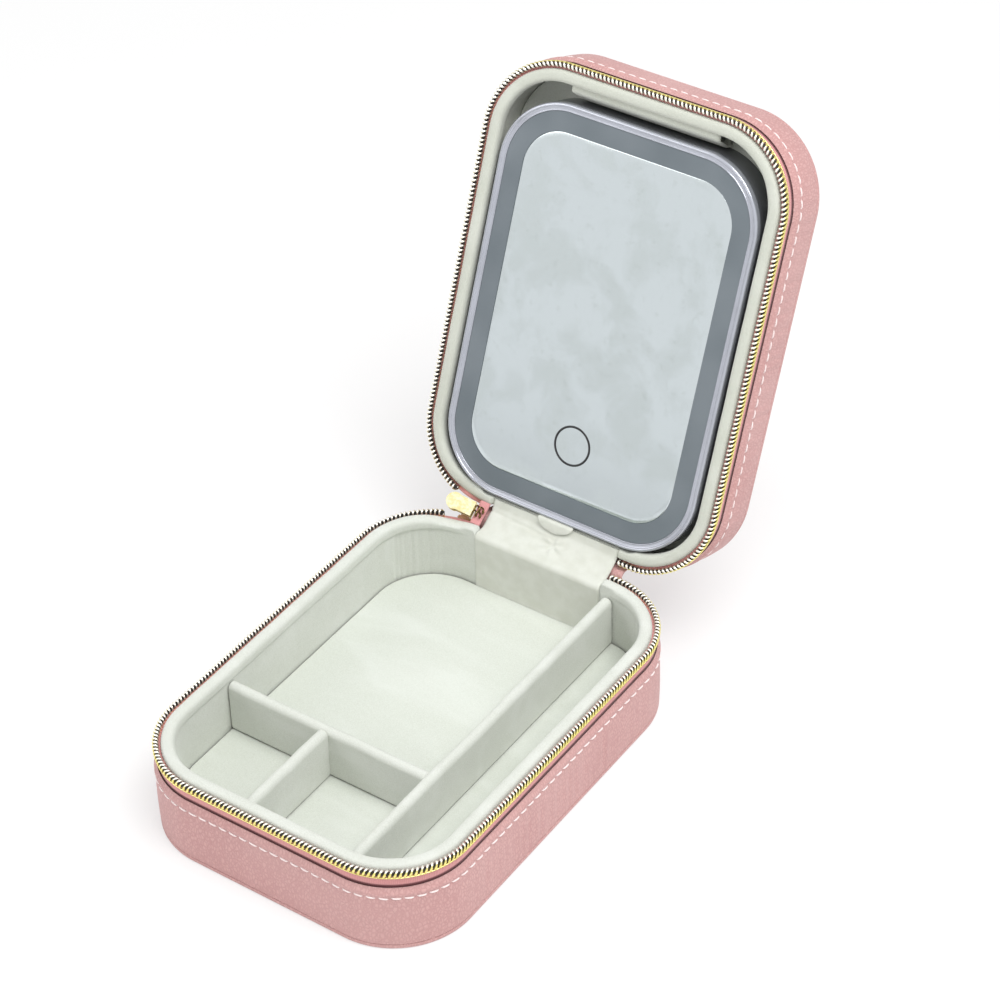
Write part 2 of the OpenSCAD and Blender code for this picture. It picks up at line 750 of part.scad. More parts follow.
module light_ring_cover() {
    color([0.55, 0.58, 0.62]) at_mirror() difference() {
        unit_slab(bezel_w + 0.05, face_z - diffuser_t, face_z);
        glass_slab(0.05, face_z - 3, face_z + 1);
    }
}

module mirror_glass() {
    color([0.82, 0.85, 0.87]) at_mirror() difference() {
        glass_slab(0, glass_back, face_z);
        translate([0, touch_y, face_z - touch_deep]) ring(touch_d / 2, touch_line, 1);
    }
}

touch_y = glass_l / 2 - glass_shift - touch_from_end;
touch_deep = 0.3;

module ring(r, line, h) {
    difference() {
        cylinder(h = h, r = r);
        translate([0, 0, -1]) cylinder(h = h + 2, r = r - line);
    }
}

module touch_ring() {
    color([0.10, 0.10, 0.11]) at_mirror()
        translate([0, touch_y, face_z - touch_deep]) ring(touch_d / 2, touch_line, touch_deep);
}

// The plate overlaps the light ring's inner edge from behind and carries the glass.
module glass_carrier() {
    color([0.93, 0.93, 0.93]) at_mirror() difference() {
        union() {
            glass_slab(-2, carrier_back, glass_back);
            glass_slab(1.4, carrier_back, face_z - diffuser_t - glass_t * 0.3);
        }
        for (p = posts) translate([p[0], p[1], carrier_back - 1]) cylinder(h = 9, r = post_hole_r);
    }
}

module lamp_board() {
    color([0.92, 0.92, 0.90]) at_mirror() difference() {
        unit_slab(case_t + fit_gap, lamp_board_z, lamp_board_z + lamp_board_t);
        unit_slab(2 * lamp_inset, lamp_board_z - 1, lamp_board_z + 2);
    }
}

lamp_size = [3.5, 2.8, 0.8];
lamp_rows_y = floor((mirror_l - 2 * mirror_r) / lamp_pitch);
lamp_rows_x = floor((mirror_w - 2 * mirror_r) / lamp_pitch);

module lamp_at(x, y, deg) {
    translate([x, y, lamp_board_z + lamp_board_t]) rotate([0, 0, deg])
        translate([-lamp_size[0] / 2, -lamp_size[1] / 2, 0]) cube(lamp_size);
}

module lamps() {
    lamp_x = mirror_w / 2 - lamp_inset;
    lamp_y = mirror_l / 2 - lamp_inset;
    color([0.98, 0.93, 0.70]) at_mirror() for (side = [-1, 1]) {
        for (i = [0 : lamp_rows_y]) lamp_at(side * lamp_x, (i - lamp_rows_y / 2) * lamp_pitch, 90);
        for (i = [0 : lamp_rows_x]) lamp_at((i - lamp_rows_x / 2) * lamp_pitch, side * lamp_y, 0);
    }
}

battery_size = [30, 44, 4];

module battery() {
    color([0.75, 0.78, 0.82]) at_mirror()
        translate([-battery_size[0] / 2, -battery_size[1] / 2 - 8, mirror_back + case_t])
            cube(battery_size);
}

board_size = [26, 20, 1.2];

module control_board() {
    color([0.20, 0.45, 0.30]) at_mirror() {
        translate([-board_size[0] / 2, battery_size[1] / 2, mirror_back + case_t]) cube(board_size);
        for (x = [-7, 2]) translate([x, battery_size[1] / 2 + 6, mirror_back + case_t + board_size[2]])
            cube([5, 5, 1]);
    }
}

module charging_socket() {
    color([0.78, 0.79, 0.80]) at_mirror()
        translate([mirror_w / 2 - socket_l, socket_y - socket_w / 2, socket_z]) difference() {
            union() {
                cube([socket_l, socket_w, socket_h]);
                translate([0, socket_w / 2 - 3, mirror_back + case_t - socket_z])
                    cube([socket_l - 2 * case_t - 0.4, 6, socket_z - mirror_back - case_t + 1]);
            }
            translate([1.5, 0.4, 0.4]) cube([socket_l, socket_w - 0.8, socket_h - 0.8]);
        }
}

module case_screws() {
    color([0.70, 0.70, 0.72]) at_mirror() for (p = posts) translate([p[0], p[1], mirror_back + 0.3]) {
        cylinder(h = screw_head_d, r = 2 * post_hole_r);
        cylinder(h = carrier_back - mirror_back - 0.3 + carrier_t / 2, r = post_hole_r);
    }
}

base_bottom_cover();
base_core();
base_side_cover();
base_zip_tape();
base_zip_teeth();
base_lining_wall();
base_foam();
base_floor_board();
base_floor_pad();
divider_boards();
divider_long();
divider_cross();
divider_short();
hinge_strip();
hinge_flap();
zip_slider();
zip_closed_run();
zip_tape_end();
zip_pull();
lid_top_cover();
lid_core();
lid_side_cover();
lid_zip_tape();
lid_zip_teeth();
lid_lining_wall();
lid_foam_blocks();
lid_back_panel();
mirror_stop_bar();
mirror_pull_tab();
mirror_rear_case();
mirror_bezel();
light_ring_cover();
mirror_glass();
glass_carrier();
touch_ring();
lamp_board();
lamps();
battery();
control_board();
charging_socket();
case_screws();
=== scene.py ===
import math

import bpy
import numpy as np
from mathutils import Matrix, Vector


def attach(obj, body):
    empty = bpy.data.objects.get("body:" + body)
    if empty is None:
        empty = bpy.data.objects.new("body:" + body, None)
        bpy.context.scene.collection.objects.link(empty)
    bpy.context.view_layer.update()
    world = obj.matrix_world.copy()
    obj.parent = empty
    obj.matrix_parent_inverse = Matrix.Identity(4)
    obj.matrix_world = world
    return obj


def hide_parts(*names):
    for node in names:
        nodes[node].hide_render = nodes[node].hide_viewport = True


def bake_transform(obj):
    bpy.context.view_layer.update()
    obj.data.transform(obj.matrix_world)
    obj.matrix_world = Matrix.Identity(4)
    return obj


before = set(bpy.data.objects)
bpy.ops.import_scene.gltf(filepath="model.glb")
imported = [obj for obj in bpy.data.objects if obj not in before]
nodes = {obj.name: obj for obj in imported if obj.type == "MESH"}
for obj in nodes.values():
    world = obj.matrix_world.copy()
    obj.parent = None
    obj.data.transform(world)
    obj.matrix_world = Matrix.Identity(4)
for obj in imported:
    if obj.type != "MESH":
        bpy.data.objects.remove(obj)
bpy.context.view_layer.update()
print("frame loaded with", len(nodes), "nodes")

# The case, in millimetres and degrees, with the origin under the middle of the base
case = {
    "halfWidth": 61.5,
    "halfLength": 84.0,
    "corner": 30.0,
    "baseLeather": 28.0,    # height of the leather sides
    "lidLeather": 18.4,
    "zipShow": 7.9,         # from the leather's edge to the plane where base and lid meet
    "hingeBack": 1.5,       # from the rear face to the hinge line
    "openAngle": 111.4,
    "floor": 10.2,          # top of the floor pad
    "wallInset": 6.9,       # from the outer face to the lining of the walls
    "lidWallInset": 6.0,
    "rimInset": 2.775,      # from the outer face to the back of the lining's roll
}
cornerX = case["halfWidth"] - case["corner"]
cornerY = case["halfLength"] - case["corner"]
partingZ = case["baseLeather"] + case["zipShow"]
totalHeight = partingZ + case["zipShow"] + case["lidLeather"]
hingeY = case["halfLength"] + case["hingeBack"]


# Paths and grids

def walk(s, halfWidth, halfLength, corner):
    # Point and outward angle at arc length s round a rectangle with rounded corners, clockwise
    # from the middle of its rear: the point is the skeleton's point plus the corner radius
    # along the outward normal, and on an arc the normal turns by length over radius.
    a, b, arc = halfWidth - corner, halfLength - corner, math.pi / 2 * corner
    starts = np.cumsum([0, a, arc, 2 * b, arc, 2 * a, arc, 2 * b, arc, a])
    s = np.mod(np.asarray(s, float), starts[-1])
    k = np.clip(np.searchsorted(starts, s, side="right") - 1, 0, 8)
    t = s - starts[k]
    bends = np.array([0, 1, 0, 1, 0, 1, 0, 1, 0])[k]
    angle = np.radians(np.array([90, 90, 0, 0, -90, -90, -180, -180, -270])[k]) - bends * t / corner
    x = np.array([0, a, a, a, a, -a, -a, -a, -a])[k] + (1 - bends) * t * np.sin(angle)
    y = np.array([b, b, b, -b, -b, -b, -b, b, b])[k] - (1 - bends) * t * np.cos(angle)
    return x + corner * np.cos(angle), y + corner * np.sin(angle), angle


caseLength = 4 * (cornerX + cornerY) + 2 * math.pi * case["corner"]


def roundCase(s, inset, height):
    # Points of the case's outline at length s, moved in by inset along the normal, at a height
    x, y, angle = walk(s, case["halfWidth"], case["halfLength"], case["corner"])
    return np.stack(np.broadcast_arrays(x - inset * np.cos(angle), y - inset * np.sin(angle), height), -1)


def closedToOpen(points, part=1.0):
    # Turns points of the closed case about the hinge line by part of the opening angle
    x, y, z = points[..., 0], points[..., 1] - hingeY, points[..., 2] - partingZ
    c, s = math.cos(math.radians(-case["openAngle"] * part)), math.sin(math.radians(-case["openAngle"] * part))
    return np.stack([x, hingeY + y * c - z * s, partingZ + y * s + z * c], -1)


def lidToOpen(points):
    # The lid's own heights count down from its outer face: height h is at total height - h
    return closedToOpen(np.stack([points[..., 0], points[..., 1], totalHeight - points[..., 2]], -1))


def asBuilt(points):
    # The base's points stay where they are
    return points


def halfOpen(points):
    # The slider turns half as far as the lid
    return closedToOpen(points, 0.5)


def smooth(x, low, high):
    # Rises from 0 at low to 1 at high as 3t^2 - 2t^3
    t = np.clip((x - low) / (high - low), 0, 1)
    return t * t * (3 - 2 * t)


def bell(x, centre, width):
    # e to the minus square of the distance from the centre over the width
    return np.exp(-((x - centre) / width) ** 2)


def ripple(s, waves, period, seed):
    # Sum of sines with whole numbers of waves per period and random phases, between about -1 and 1
    phases = np.random.default_rng(seed).uniform(0, 2 * math.pi, len(waves))
    return sum(np.sin(2 * math.pi * n * s / period + p) for n, p in zip(waves, phases)) / math.sqrt(len(waves))


def roundedLine(corners, radii, steps=5):
    # A closed outline in the plane with each corner cut by a curve: the quadratic curve that
    # leaves one side and reaches the next at the given distance from the corner.
    corners = np.array(corners, float)
    out = []
    for i, r in enumerate(radii):
        before, here, after = corners[i - 1], corners[i], corners[(i + 1) % len(corners)]
        if r == 0:
            out.append(here[None])
            continue
        start = here + (before - here) / np.linalg.norm(before - here) * r
        end = here + (after - here) / np.linalg.norm(after - here) * r
        t = np.linspace(0, 1, steps)[:, None]
        out.append((1 - t) ** 2 * start + 2 * t * (1 - t) * here + t * t * end)
    return np.concatenate(out)


def divided(line, step, closed=True):
    # The same line with points at equal steps of its length
    line = np.concatenate([line, line[:1]]) if closed else line
    length = np.concatenate([[0], np.cumsum(np.linalg.norm(np.diff(line, axis=0), axis=1))])
    count = max(3, int(round(length[-1] / step)))
    at = np.linspace(0, length[-1], count, endpoint=False) if closed else np.linspace(0, length[-1], count + 1)
    return np.stack([np.interp(at, length, line[:, k]) for k in range(line.shape[1])], -1)


def gridQuads(rows, columns, wrapRows, wrapColumns):
    # The four corners of every cell of a grid, which closes on itself where it wraps
    i, j = np.meshgrid(np.arange(rows - (not wrapRows)), np.arange(columns - (not wrapColumns)), indexing="ij")
    i2, j2 = (i + 1) % rows, (j + 1) % columns
    return np.stack([i * columns + j, i2 * columns + j, i2 * columns + j2, i * columns + j2], -1).reshape(-1, 4)


def buildMesh(name, points, quads, ends=(), uv=None, flip=None, flat=False):
    # Points in millimetres, quads as rows of indices and ends as longer faces. Without a word on
    # flip, a shell is turned outwards by the sign of its volume, the sum of its pyramids' volumes.
    points = points.reshape(-1, 3) / 1000
    if flip is None:
        volume = sum(np.einsum("ij,ij->i", points[f[:, 0]], np.cross(points[f[:, 1]], points[f[:, 2]])).sum()
                     for f in (quads[:, :3], quads[:, [0, 2, 3]]))
        for end in ends:
            volume += np.einsum("j,ij->i", points[end[0]], np.cross(points[end[1:-1]], points[end[2:]])).sum()
        flip = volume < 0
    if flip:
        quads, ends = quads[:, ::-1], [end[::-1] for end in ends]
    mesh = bpy.data.meshes.new(name)
    mesh.from_pydata(points.tolist(), [], quads.tolist() + [np.asarray(end).tolist() for end in ends])
    if uv is not None:
        layer = mesh.uv_layers.new(name="run")
        flatUv = (uv[:, ::-1] if flip else uv).reshape(-1, 2) / 1000
        values = np.zeros((len(mesh.loops), 2))
        values[:len(flatUv)] = flatUv
        layer.data.foreach_set("uv", values.ravel())
    mesh.update()
    if not flat:
        mesh.shade_smooth()
    made = bpy.data.objects.new(name, mesh)
    bpy.context.scene.collection.objects.link(made)
    return made


def surface(name, grid, wrapRows=False, wrapColumns=False, runs=None, closeEnds=False):
    # A mesh over a grid of points. runs gives the lengths along rows and columns for the map "run".
    rows, columns = grid.shape[:2]
    quads = gridQuads(rows, columns, wrapRows, wrapColumns)
    ends = [np.arange(columns)[::-1], (rows - 1) * columns + np.arange(columns)] if closeEnds else []
    uv = None
    if runs is not None:
        u, v = np.meshgrid(runs[0], runs[1], indexing="ij")
        i, j = np.meshgrid(np.arange(rows - (not wrapRows)), np.arange(columns - (not wrapColumns)), indexing="ij")
        corners = [(i, j), (i + 1, j), (i + 1, j + 1), (i, j + 1)]
        uv = np.stack([np.stack([u[p, q], v[p, q]], -1) for p, q in corners], 2).reshape(-1, 4, 2)
    return buildMesh(name, grid, quads, ends, uv)


def cappedShape(name, grid, centreLow, centreHigh):
    # Rings that wrap round, from a centre point, through each row, to another centre point
    rows, columns = grid.shape[:2]
    quads = gridQuads(rows, columns, False, True)
    points = np.concatenate([grid.reshape(-1, 3), [centreLow], [centreHigh]])
    j = np.arange(columns)
    low = np.stack([np.full(columns, rows * columns), j, (j + 1) % columns], -1)
    last = (rows - 1) * columns
    high = np.stack([np.full(columns, rows * columns + 1), last + (j + 1) % columns, last + j], -1)
    return buildMesh(name, points, quads, np.concatenate([low, high]))


# Finishes

class Wire:
    # One output socket of a node. Arithmetic with it adds Math nodes.
    def __init__(self, nodeTree, socket):
        self.nodeTree, self.socket = nodeTree, socket

    def maths(self, operation, *values):
        return self.nodeTree.put("ShaderNodeMath", {"operation": operation}, dict(enumerate(values)))

    def __add__(self, other):
        return self.maths("ADD", self, other)

    def __sub__(self, other):
        return self.maths("SUBTRACT", self, other)

    def __rsub__(self, other):
        return self.maths("SUBTRACT", other, self)

    def __mul__(self, other):
        return self.maths("MULTIPLY", self, other)

    def __truediv__(self, other):
        return self.maths("DIVIDE", self, other)

    __radd__, __rmul__ = __add__, __mul__

    def ramp(self, low, high):
        # 0 below low, 1 above high, smooth between
        return self.nodeTree.put("ShaderNodeMapRange", {"interpolation_type": "SMOOTHSTEP"},
                                 {0: self, 1: low, 2: high, 3: 0.0, 4: 1.0})

    def sine(self):
        return self.maths("SINE", self)


class NodeTree:
    # The nodes of a material or of the world. Every node is made by put().
    def __init__(self, tree):
        self.tree = tree

    def connect(self, socket, value):
        if isinstance(value, Wire):
            self.tree.links.new(value.socket, socket)
        else:
            socket.default_value = value

    def put(self, kind, settings=None, sockets=None, out=0):
        # A node with its settings, then the values or links of its sockets. Gives one output.
        node = self.tree.nodes.new(kind)
        for key, value in (settings or {}).items():
            setattr(node, key, value)
        for key, value in (sockets or {}).items():
            self.connect(node.inputs[key], value)
        return Wire(self, node.outputs[out])


class Finish(NodeTree):
    # A material on the Principled shader
    def __init__(self, name, colour, roughness, **shader):
        self.material = bpy.data.materials.new(name)
        self.material.use_nodes = True
        self.material.diffuse_color = colour
        super().__init__(self.material.node_tree)
        self.shader = self.tree.nodes["Principled BSDF"]
        self.set("Base Color", colour)
        self.set("Roughness", roughness)
        for key, value in shader.items():
            self.set(key.replace("_", " "), value)

    def set(self, key, value):
        self.connect(self.shader.inputs[key], value)

    def part(self, vector, which):
        # One coordinate of a vector: 0, 1 or 2
        return self.put("ShaderNodeSeparateXYZ", {}, {0: vector}, out=which)

    def millimetres(self, stretch=(1, 1, 1), turn=0.0):
        # Object coordinates in millimetres, turned about X and stretched
        place = self.put("ShaderNodeTexCoord", out="Object")
        scale = tuple(1000 / s for s in stretch)
        if turn:
            place = self.put("ShaderNodeMapping", {}, {"Vector": place, "Rotation": (turn, 0, 0)})
        return self.put("ShaderNodeMapping", {}, {"Vector": place, "Scale": scale})

    def alongRun(self):
        # The piece's own map: length along the run and across it, in millimetres
        place = self.put("ShaderNodeUVMap", {"uv_map": "run"})
        return self.part(place, 0) * 1000, self.part(place, 1) * 1000

    def noise(self, place, size, detail=2.0, rough=0.5, warp=0.0):
        # Soft noise from 0 to 1 with features of that size in millimetres
        return self.put("ShaderNodeTexNoise", {}, {"Vector": place, "Scale": 1 / size, "Detail": detail,
                                                   "Roughness": rough, "Distortion": warp})

    def cells(self, place, size, feature="DISTANCE_TO_EDGE"):
        # Voronoi cells: the distance to their edges, or with F1 to their middles
        return self.put("ShaderNodeTexVoronoi", {"feature": feature},
                        {"Vector": place, "Scale": 1 / size, "Randomness": 0.9})

    def shifted(self, place, size, amount):
        # The place moved by a noise of that size, so that cells lose their straight sides
        bend = self.put("ShaderNodeTexNoise", {}, {"Vector": place, "Scale": 1 / size, "Detail": 1.0}, out="Color")
        bend = self.put("ShaderNodeVectorMath", {"operation": "SUBTRACT"}, {0: bend, 1: (0.5, 0.5, 0.5)})
        bend = self.put("ShaderNodeVectorMath", {"operation": "SCALE"}, {0: bend, "Scale": amount})
        return self.put("ShaderNodeVectorMath", {"operation": "ADD"}, {0: place, 1: bend})

    def mix(self, factor, a, b):
        # From colour a at 0 to colour b at 1
        return self.put("ShaderNodeMix", {"data_type": "RGBA"}, {0: factor, 6: a, 7: b}, out=2)

    def bump(self, height, depth):
        # depth is the height's full range in millimetres
        return self.put("ShaderNodeBump", {}, {"Height": height, "Distance": depth / 1000, "Strength": 1.0})


def paint(*levels):
    # A colour as it looks on screen, 0 to 255, turned into linear light
    return tuple(((c / 255 + 0.055) / 1.055) ** 2.4 if c > 10 else c / 255 / 12.92 for c in levels) + (1.0,)


leatherLook = {
    "colour": (207, 163, 160),
    "crease": (188, 141, 139),
    "worn": (221, 184, 180),
    "grain": 1.15,
    "grainTall": 1.7,
    "grainDepth": 0.11,
    "roughness": 0.5,
}


def leatherFinish(name, turn=0.0):
    # Pebble grain: large cells and small ones between them, pressed flatter in patches. The
    # creases between the cells are darker.
    look = leatherLook
    made = Finish(name, paint(*look["colour"]), look["roughness"], Specular_IOR_Level=0.42, Sheen_Weight=0.06)
    place = made.millimetres((1, 1, look["grainTall"]), turn)
    bent = made.shifted(place, 2.2, 1.1)
    pebbles = made.cells(bent, look["grain"]).ramp(0.0, 0.32)
    small = made.cells(made.shifted(place, 0.9, 0.5), look["grain"] * 0.42).ramp(0.0, 0.3)
    patches = made.noise(place, 16, 3).ramp(0.35, 0.68)         # where the grain is pressed flatter
    fine = made.noise(place, 0.22, 3, 0.6)
    height = pebbles * (0.55 + patches * 0.45) + small * 0.28 + fine * 0.16
    tone = made.noise(place, 34, 2).ramp(0.3, 0.7)
    colour = made.mix(pebbles * 0.75 + small * 0.25, paint(*look["crease"]), paint(*look["colour"]))
    colour = made.mix(tone * 0.16, colour, paint(*look["worn"]))
    made.set("Base Color", colour)
    made.set("Roughness", 0.44 + fine * 0.16 + patches * 0.06)
    made.set("Normal", made.bump(height, look["grainDepth"]))
    return made.material


velvetLook = {
    "colour": (216, 219, 212),
    "deep": (196, 199, 189),
    "bright": (229, 231, 227),
    # the next colour is a painted shade for the seams where the velvet meets the floor
    "paintedSeamShade": (62, 68, 58),
    "pile": 0.34,
    "roughness": 0.92,
}


def velvetFinish(name, tint=(1.0, 1.0, 1.0), pile=1.0, foot=None):
    # Short pile, with a painted sheen: paler in patches where the nap is stroked over. Below the height foot the colour
    # turns dark, a painted shade of the seam at its foot.
    look = velvetLook

    def shade(key):
        return paint(*[c * t for c, t in zip(look[key], tint)])

    made = Finish(name, shade("colour"), look["roughness"], Specular_IOR_Level=0.2,
                  Sheen_Weight=0.35, Sheen_Roughness=0.45, Sheen_Tint=(1.0, 1.0, 0.97, 1.0))
    place = made.millimetres()
    fibres = made.noise(place, look["pile"] * pile, 4, 0.7, 0.3)
    tufts = made.noise(place, 1.7, 3, 0.6)
    # Painted sheen: patches where the nap lies one way are painted paler
    napSheen = made.noise(made.millimetres((3.0, 1, 1)), 17, 3, 0.5, 0.8)      # stroked one way or the other
    colour = made.mix(fibres.ramp(0.25, 0.7), shade("deep"), shade("colour"))
    colour = made.mix(napSheen.ramp(0.42, 0.72) * 0.28, colour, shade("bright"))
    # Painted shade: below foot the colour fades to the dark seam colour
    if foot:
        colour = made.mix(made.part(place, 2).ramp(foot, foot + 0.4), shade("paintedSeamShade"), colour)
    made.set("Base Color", colour)
    made.set("Roughness", 0.86 + fibres * 0.14)
    made.set("Normal", made.bump(fibres * 0.7 + tufts * 0.5, 0.16 * pile))
    return made.material


clothLook = {"colour": (224, 226, 218), "deep": (204, 206, 194), "thread": 0.32}


def clothFinish(name):
    # Fine woven lining cloth: warp and weft as two sines across the piece's own map
    look = clothLook
    made = Finish(name, paint(*look["colour"]), 0.8, Specular_IOR_Level=0.25, Sheen_Weight=0.2)
    along, across = made.alongRun()
    weave = (along * (2 * math.pi / look["thread"])).sine() * (across * (2 * math.pi / look["thread"])).sine()
    place = made.millimetres()
    blotch = made.noise(place, 5, 3)
    share = weave * 0.25 + blotch.ramp(0.3, 0.7) * 0.4 + 0.3
    made.set("Base Color", made.mix(share, paint(*look["deep"]), paint(*look["colour"])))
    made.set("Roughness", 0.74 + blotch * 0.16)
    made.set("Normal", made.bump(weave * 0.5 + made.noise(place, 0.5, 3) * 0.7, 0.06))
    return made.material


tapeLook = {"colour": (232, 170, 168), "deep": (196, 128, 130), "shaded": (84, 34, 40), "rib": 0.62}


def tapeFinish(name, shaded=1.0):
    # Woven zip tape: ribs across the run with a twill line over them. A painted shade darkens its lower band, the
    # crevice where it comes out from behind the leather.
    look = tapeLook
    made = Finish(name, paint(*look["colour"]), 0.85, Specular_IOR_Level=0.2, Sheen_Weight=0.25)
    along, across = made.alongRun()
    ribs = (along * (2 * math.pi / look["rib"])).sine() * 0.5 + 0.5
    twill = ((along + across * 1.3) * (2 * math.pi / 0.9)).sine() * 0.5 + 0.5
    weave = ribs * 0.6 + twill * 0.4
    fuzz = made.noise(made.millimetres(), 0.35, 3)
    colour = made.mix(weave * 0.75 + fuzz * 0.3, paint(*look["deep"]), paint(*look["colour"]))
    # Painted shade on the band below the coil, where the tape leaves the leather
    paintedShade = (1 - across.ramp(5.5, 6.4)) * shaded
    made.set("Base Color", made.mix(paintedShade * (0.8 + weave * 0.2), colour, paint(*look["shaded"])))
    made.set("Roughness", 0.78 + fuzz * 0.18)
    made.set("Normal", made.bump(weave + fuzz * 0.5, 0.09))
    return made.material


def metalFinish(name, bright, dark, roughness, scratch=1.0, grain=0.8, paintedHighlight=None):
    # Plated metal with hairlines and a slightly uneven coat. On a wound wire, whose map counts turns, the optional last
    # colour is a painted highlight on the bars that face up and inwards.
    made = Finish(name, paint(*bright), roughness, Metallic=1.0)
    place = made.millimetres()
    uneven = made.noise(place, grain, 4, 0.6)
    hairs = made.noise(made.millimetres((1, 9, 9)), 0.12, 2, 0.6)
    colour = made.mix(uneven.ramp(0.3, 0.72), paint(*dark), paint(*bright))
    if paintedHighlight:
        turns = made.alongRun()[0] * (2 * math.pi)
        highlightShare = turns.sine() * 0.85 + (turns + math.pi / 2).sine() * 0.5
        colour = made.mix(highlightShare.ramp(0.1, 0.5), colour, paint(*paintedHighlight))
    made.set("Base Color", colour)
    made.set("Roughness", roughness * 0.75 + uneven * (0.35 * roughness) + hairs * (0.12 * scratch))
    made.set("Normal", made.bump(hairs * 0.6 + uneven * 0.6, 0.012 * scratch))
    return made.material


def boardFinish(name, light, dark, fibre=1.0):
    # Pressed fibre board: long soft fibres over fine specks
    made = Finish(name, paint(*light), 0.85, Specular_IOR_Level=0.2)
    place = made.millimetres((1, 5, 1))
    fibres = made.noise(place, 0.5 * fibre, 5, 0.7)
    specks = made.cells(made.millimetres(), 1.1 * fibre, "F1").ramp(0.05, 0.2)
    made.set("Base Color", made.mix(fibres.ramp(0.3, 0.7) * 0.8 + specks * 0.2, paint(*dark), paint(*light)))
    made.set("Roughness", 0.78 + fibres * 0.2)
    made.set("Normal", made.bump(fibres + specks * 0.4, 0.08))
    return made.material


def foamFinish(name):
    # Open pores as uneven cells, deeper and darker towards their middles
    made = Finish(name, paint(240, 233, 208), 0.95, Specular_IOR_Level=0.15)
    pores = made.cells(made.shifted(made.millimetres(), 1.0, 0.6), 0.75, "F1").ramp(0.05, 0.55)
    made.set("Base Color", made.mix(pores, paint(250, 245, 226), paint(206, 194, 160)))
    made.set("Roughness", 0.85 + pores * 0.15)
    made.set("Normal", made.bump(1 - pores, 0.3))
    return made.material


def plasticFinish(name, colour, roughness, texture=0.02, mottle=0.06, **shader):
    # Moulded plastic: a fine spark-eroded texture and faint flow marks
    made = Finish(name, paint(*colour), roughness, **shader)
    fine = made.noise(made.millimetres(), 0.16, 3, 0.6)
    flow = made.noise(made.millimetres((4, 1, 1)), 9, 2, 0.5, 0.6)
    darker = tuple(c * 0.86 for c in colour)
    made.set("Base Color", made.mix(flow.ramp(0.35, 0.75) * mottle / 0.14, paint(*colour), paint(*darker)))
    made.set("Roughness", roughness - 0.05 + fine * 0.1)
    made.set("Normal", made.bump(fine, texture))
    return made.material


def circuitFinish(name):
    # Green solder mask with paler copper runs and gold pads from a square pattern
    made = Finish(name, paint(38, 110, 66), 0.35)
    place = made.millimetres()
    runs = made.put("ShaderNodeTexBrick", {"offset": 0.5, "squash": 1.0},
                    {"Vector": place, "Scale": 0.45, "Mortar Size": 0.05, "Mortar Smooth": 0.1,
                     "Color1": (0, 0, 0, 1), "Color2": (0, 0, 0, 1), "Mortar": (1, 1, 1, 1)}, out=1)
    pads = 1 - made.cells(place, 2.6, "F1").ramp(0.1, 0.14)
    colour = made.mix(runs * 0.5, paint(30, 98, 58), paint(86, 158, 96))
    made.set("Base Color", made.mix(pads, colour, paint(220, 190, 120)))
    made.set("Roughness", 0.28 + runs * 0.2)
    made.set("Metallic", pads * 0.9)
    made.set("Normal", made.bump(runs + pads, 0.04))
    return made.material


glassLook = {"colour": (206, 214, 217), "reflectedCloud": (190, 198, 198), "roughness": 0.1}


def mirrorFinish(name):
    # Silvered glass with a painted reflection: faint clouds in tone stand in for the cloudy grey it reflects, and the
    # same clouds vary its sharpness
    look = glassLook
    made = Finish(name, paint(*look["colour"]), look["roughness"], Metallic=0.92, Specular_IOR_Level=0.6)
    place = made.millimetres()
    # Painted reflection: clouds and specks mixed into the colour
    reflectionClouds = made.noise(place, 17, 4, 0.55, 0.4).ramp(0.42, 0.66)
    specks = made.noise(place, 3.2, 3, 0.6).ramp(0.56, 0.72)
    made.set("Base Color", made.mix(reflectionClouds * 0.6 + specks * 0.25, paint(*look["colour"]), paint(*look["reflectedCloud"])))
    made.set("Roughness", look["roughness"] + reflectionClouds * 0.12)
    return made.material


diffuserLook = {"colour": (98, 107, 113), "pale": (112, 120, 126)}


def diffuserFinish(name):
    # Frosted cover of the unlit light ring, cooler and darker in slow patches
    look = diffuserLook
    made = Finish(name, paint(*look["colour"]), 0.38, Specular_IOR_Level=0.35, Coat_Weight=0.25, Coat_Roughness=0.3)
    place = made.millimetres()
    slow = made.noise(place, 26, 2, 0.4).ramp(0.3, 0.7)
    frost = made.noise(place, 0.12, 3, 0.6)
    made.set("Base Color", made.mix(slow, paint(*look["pale"]), paint(*look["colour"])))
    made.set("Roughness", 0.3 + frost * 0.14)
    made.set("Normal", made.bump(frost, 0.01))
    return made.material


def threadFinish(name, colour):
    # Spun thread: fine uneven shading
    made = Finish(name, paint(*colour), 0.6, Specular_IOR_Level=0.35, Sheen_Weight=0.3)
    twist = made.noise(made.millimetres(), 0.18, 3, 0.6)
    made.set("Base Color", made.mix(twist.ramp(0.3, 0.6), paint(*[c * 0.84 for c in colour]), paint(*colour)))
    made.set("Roughness", 0.5 + twist * 0.25)
    made.set("Normal", made.bump(twist, 0.06))
    return made.material


lidTurn = math.radians(case["openAngle"])
leather = leatherFinish("leatherPink")
leatherLid = leatherFinish("leatherPinkLid", lidTurn)
velvet = velvetFinish("velvetIvory")
# The lid's velvet is the same cloth, tinted darker as painted shade of the open lid
velvetLidShaded = velvetFinish("velvetLidShaded", (0.945, 0.945, 0.93))
# Painted shade along the dividers' feet and round the floor pad's edge, where they meet the floor and the walls
velvetDivider = velvetFinish("velvetDivider", foot=case["floor"] + 0.5)
velvetFloor = velvetFinish("velvetFloor", (1.0, 1.005, 1.0), 0.8, foot=case["floor"] - 0.55)
cloth = clothFinish("liningCloth")
satin = clothFinish("tabCloth")
zipTape = tapeFinish("zipTapePink")
zipTapeEnd = tapeFinish("zipTapeEndPink", 0.0)
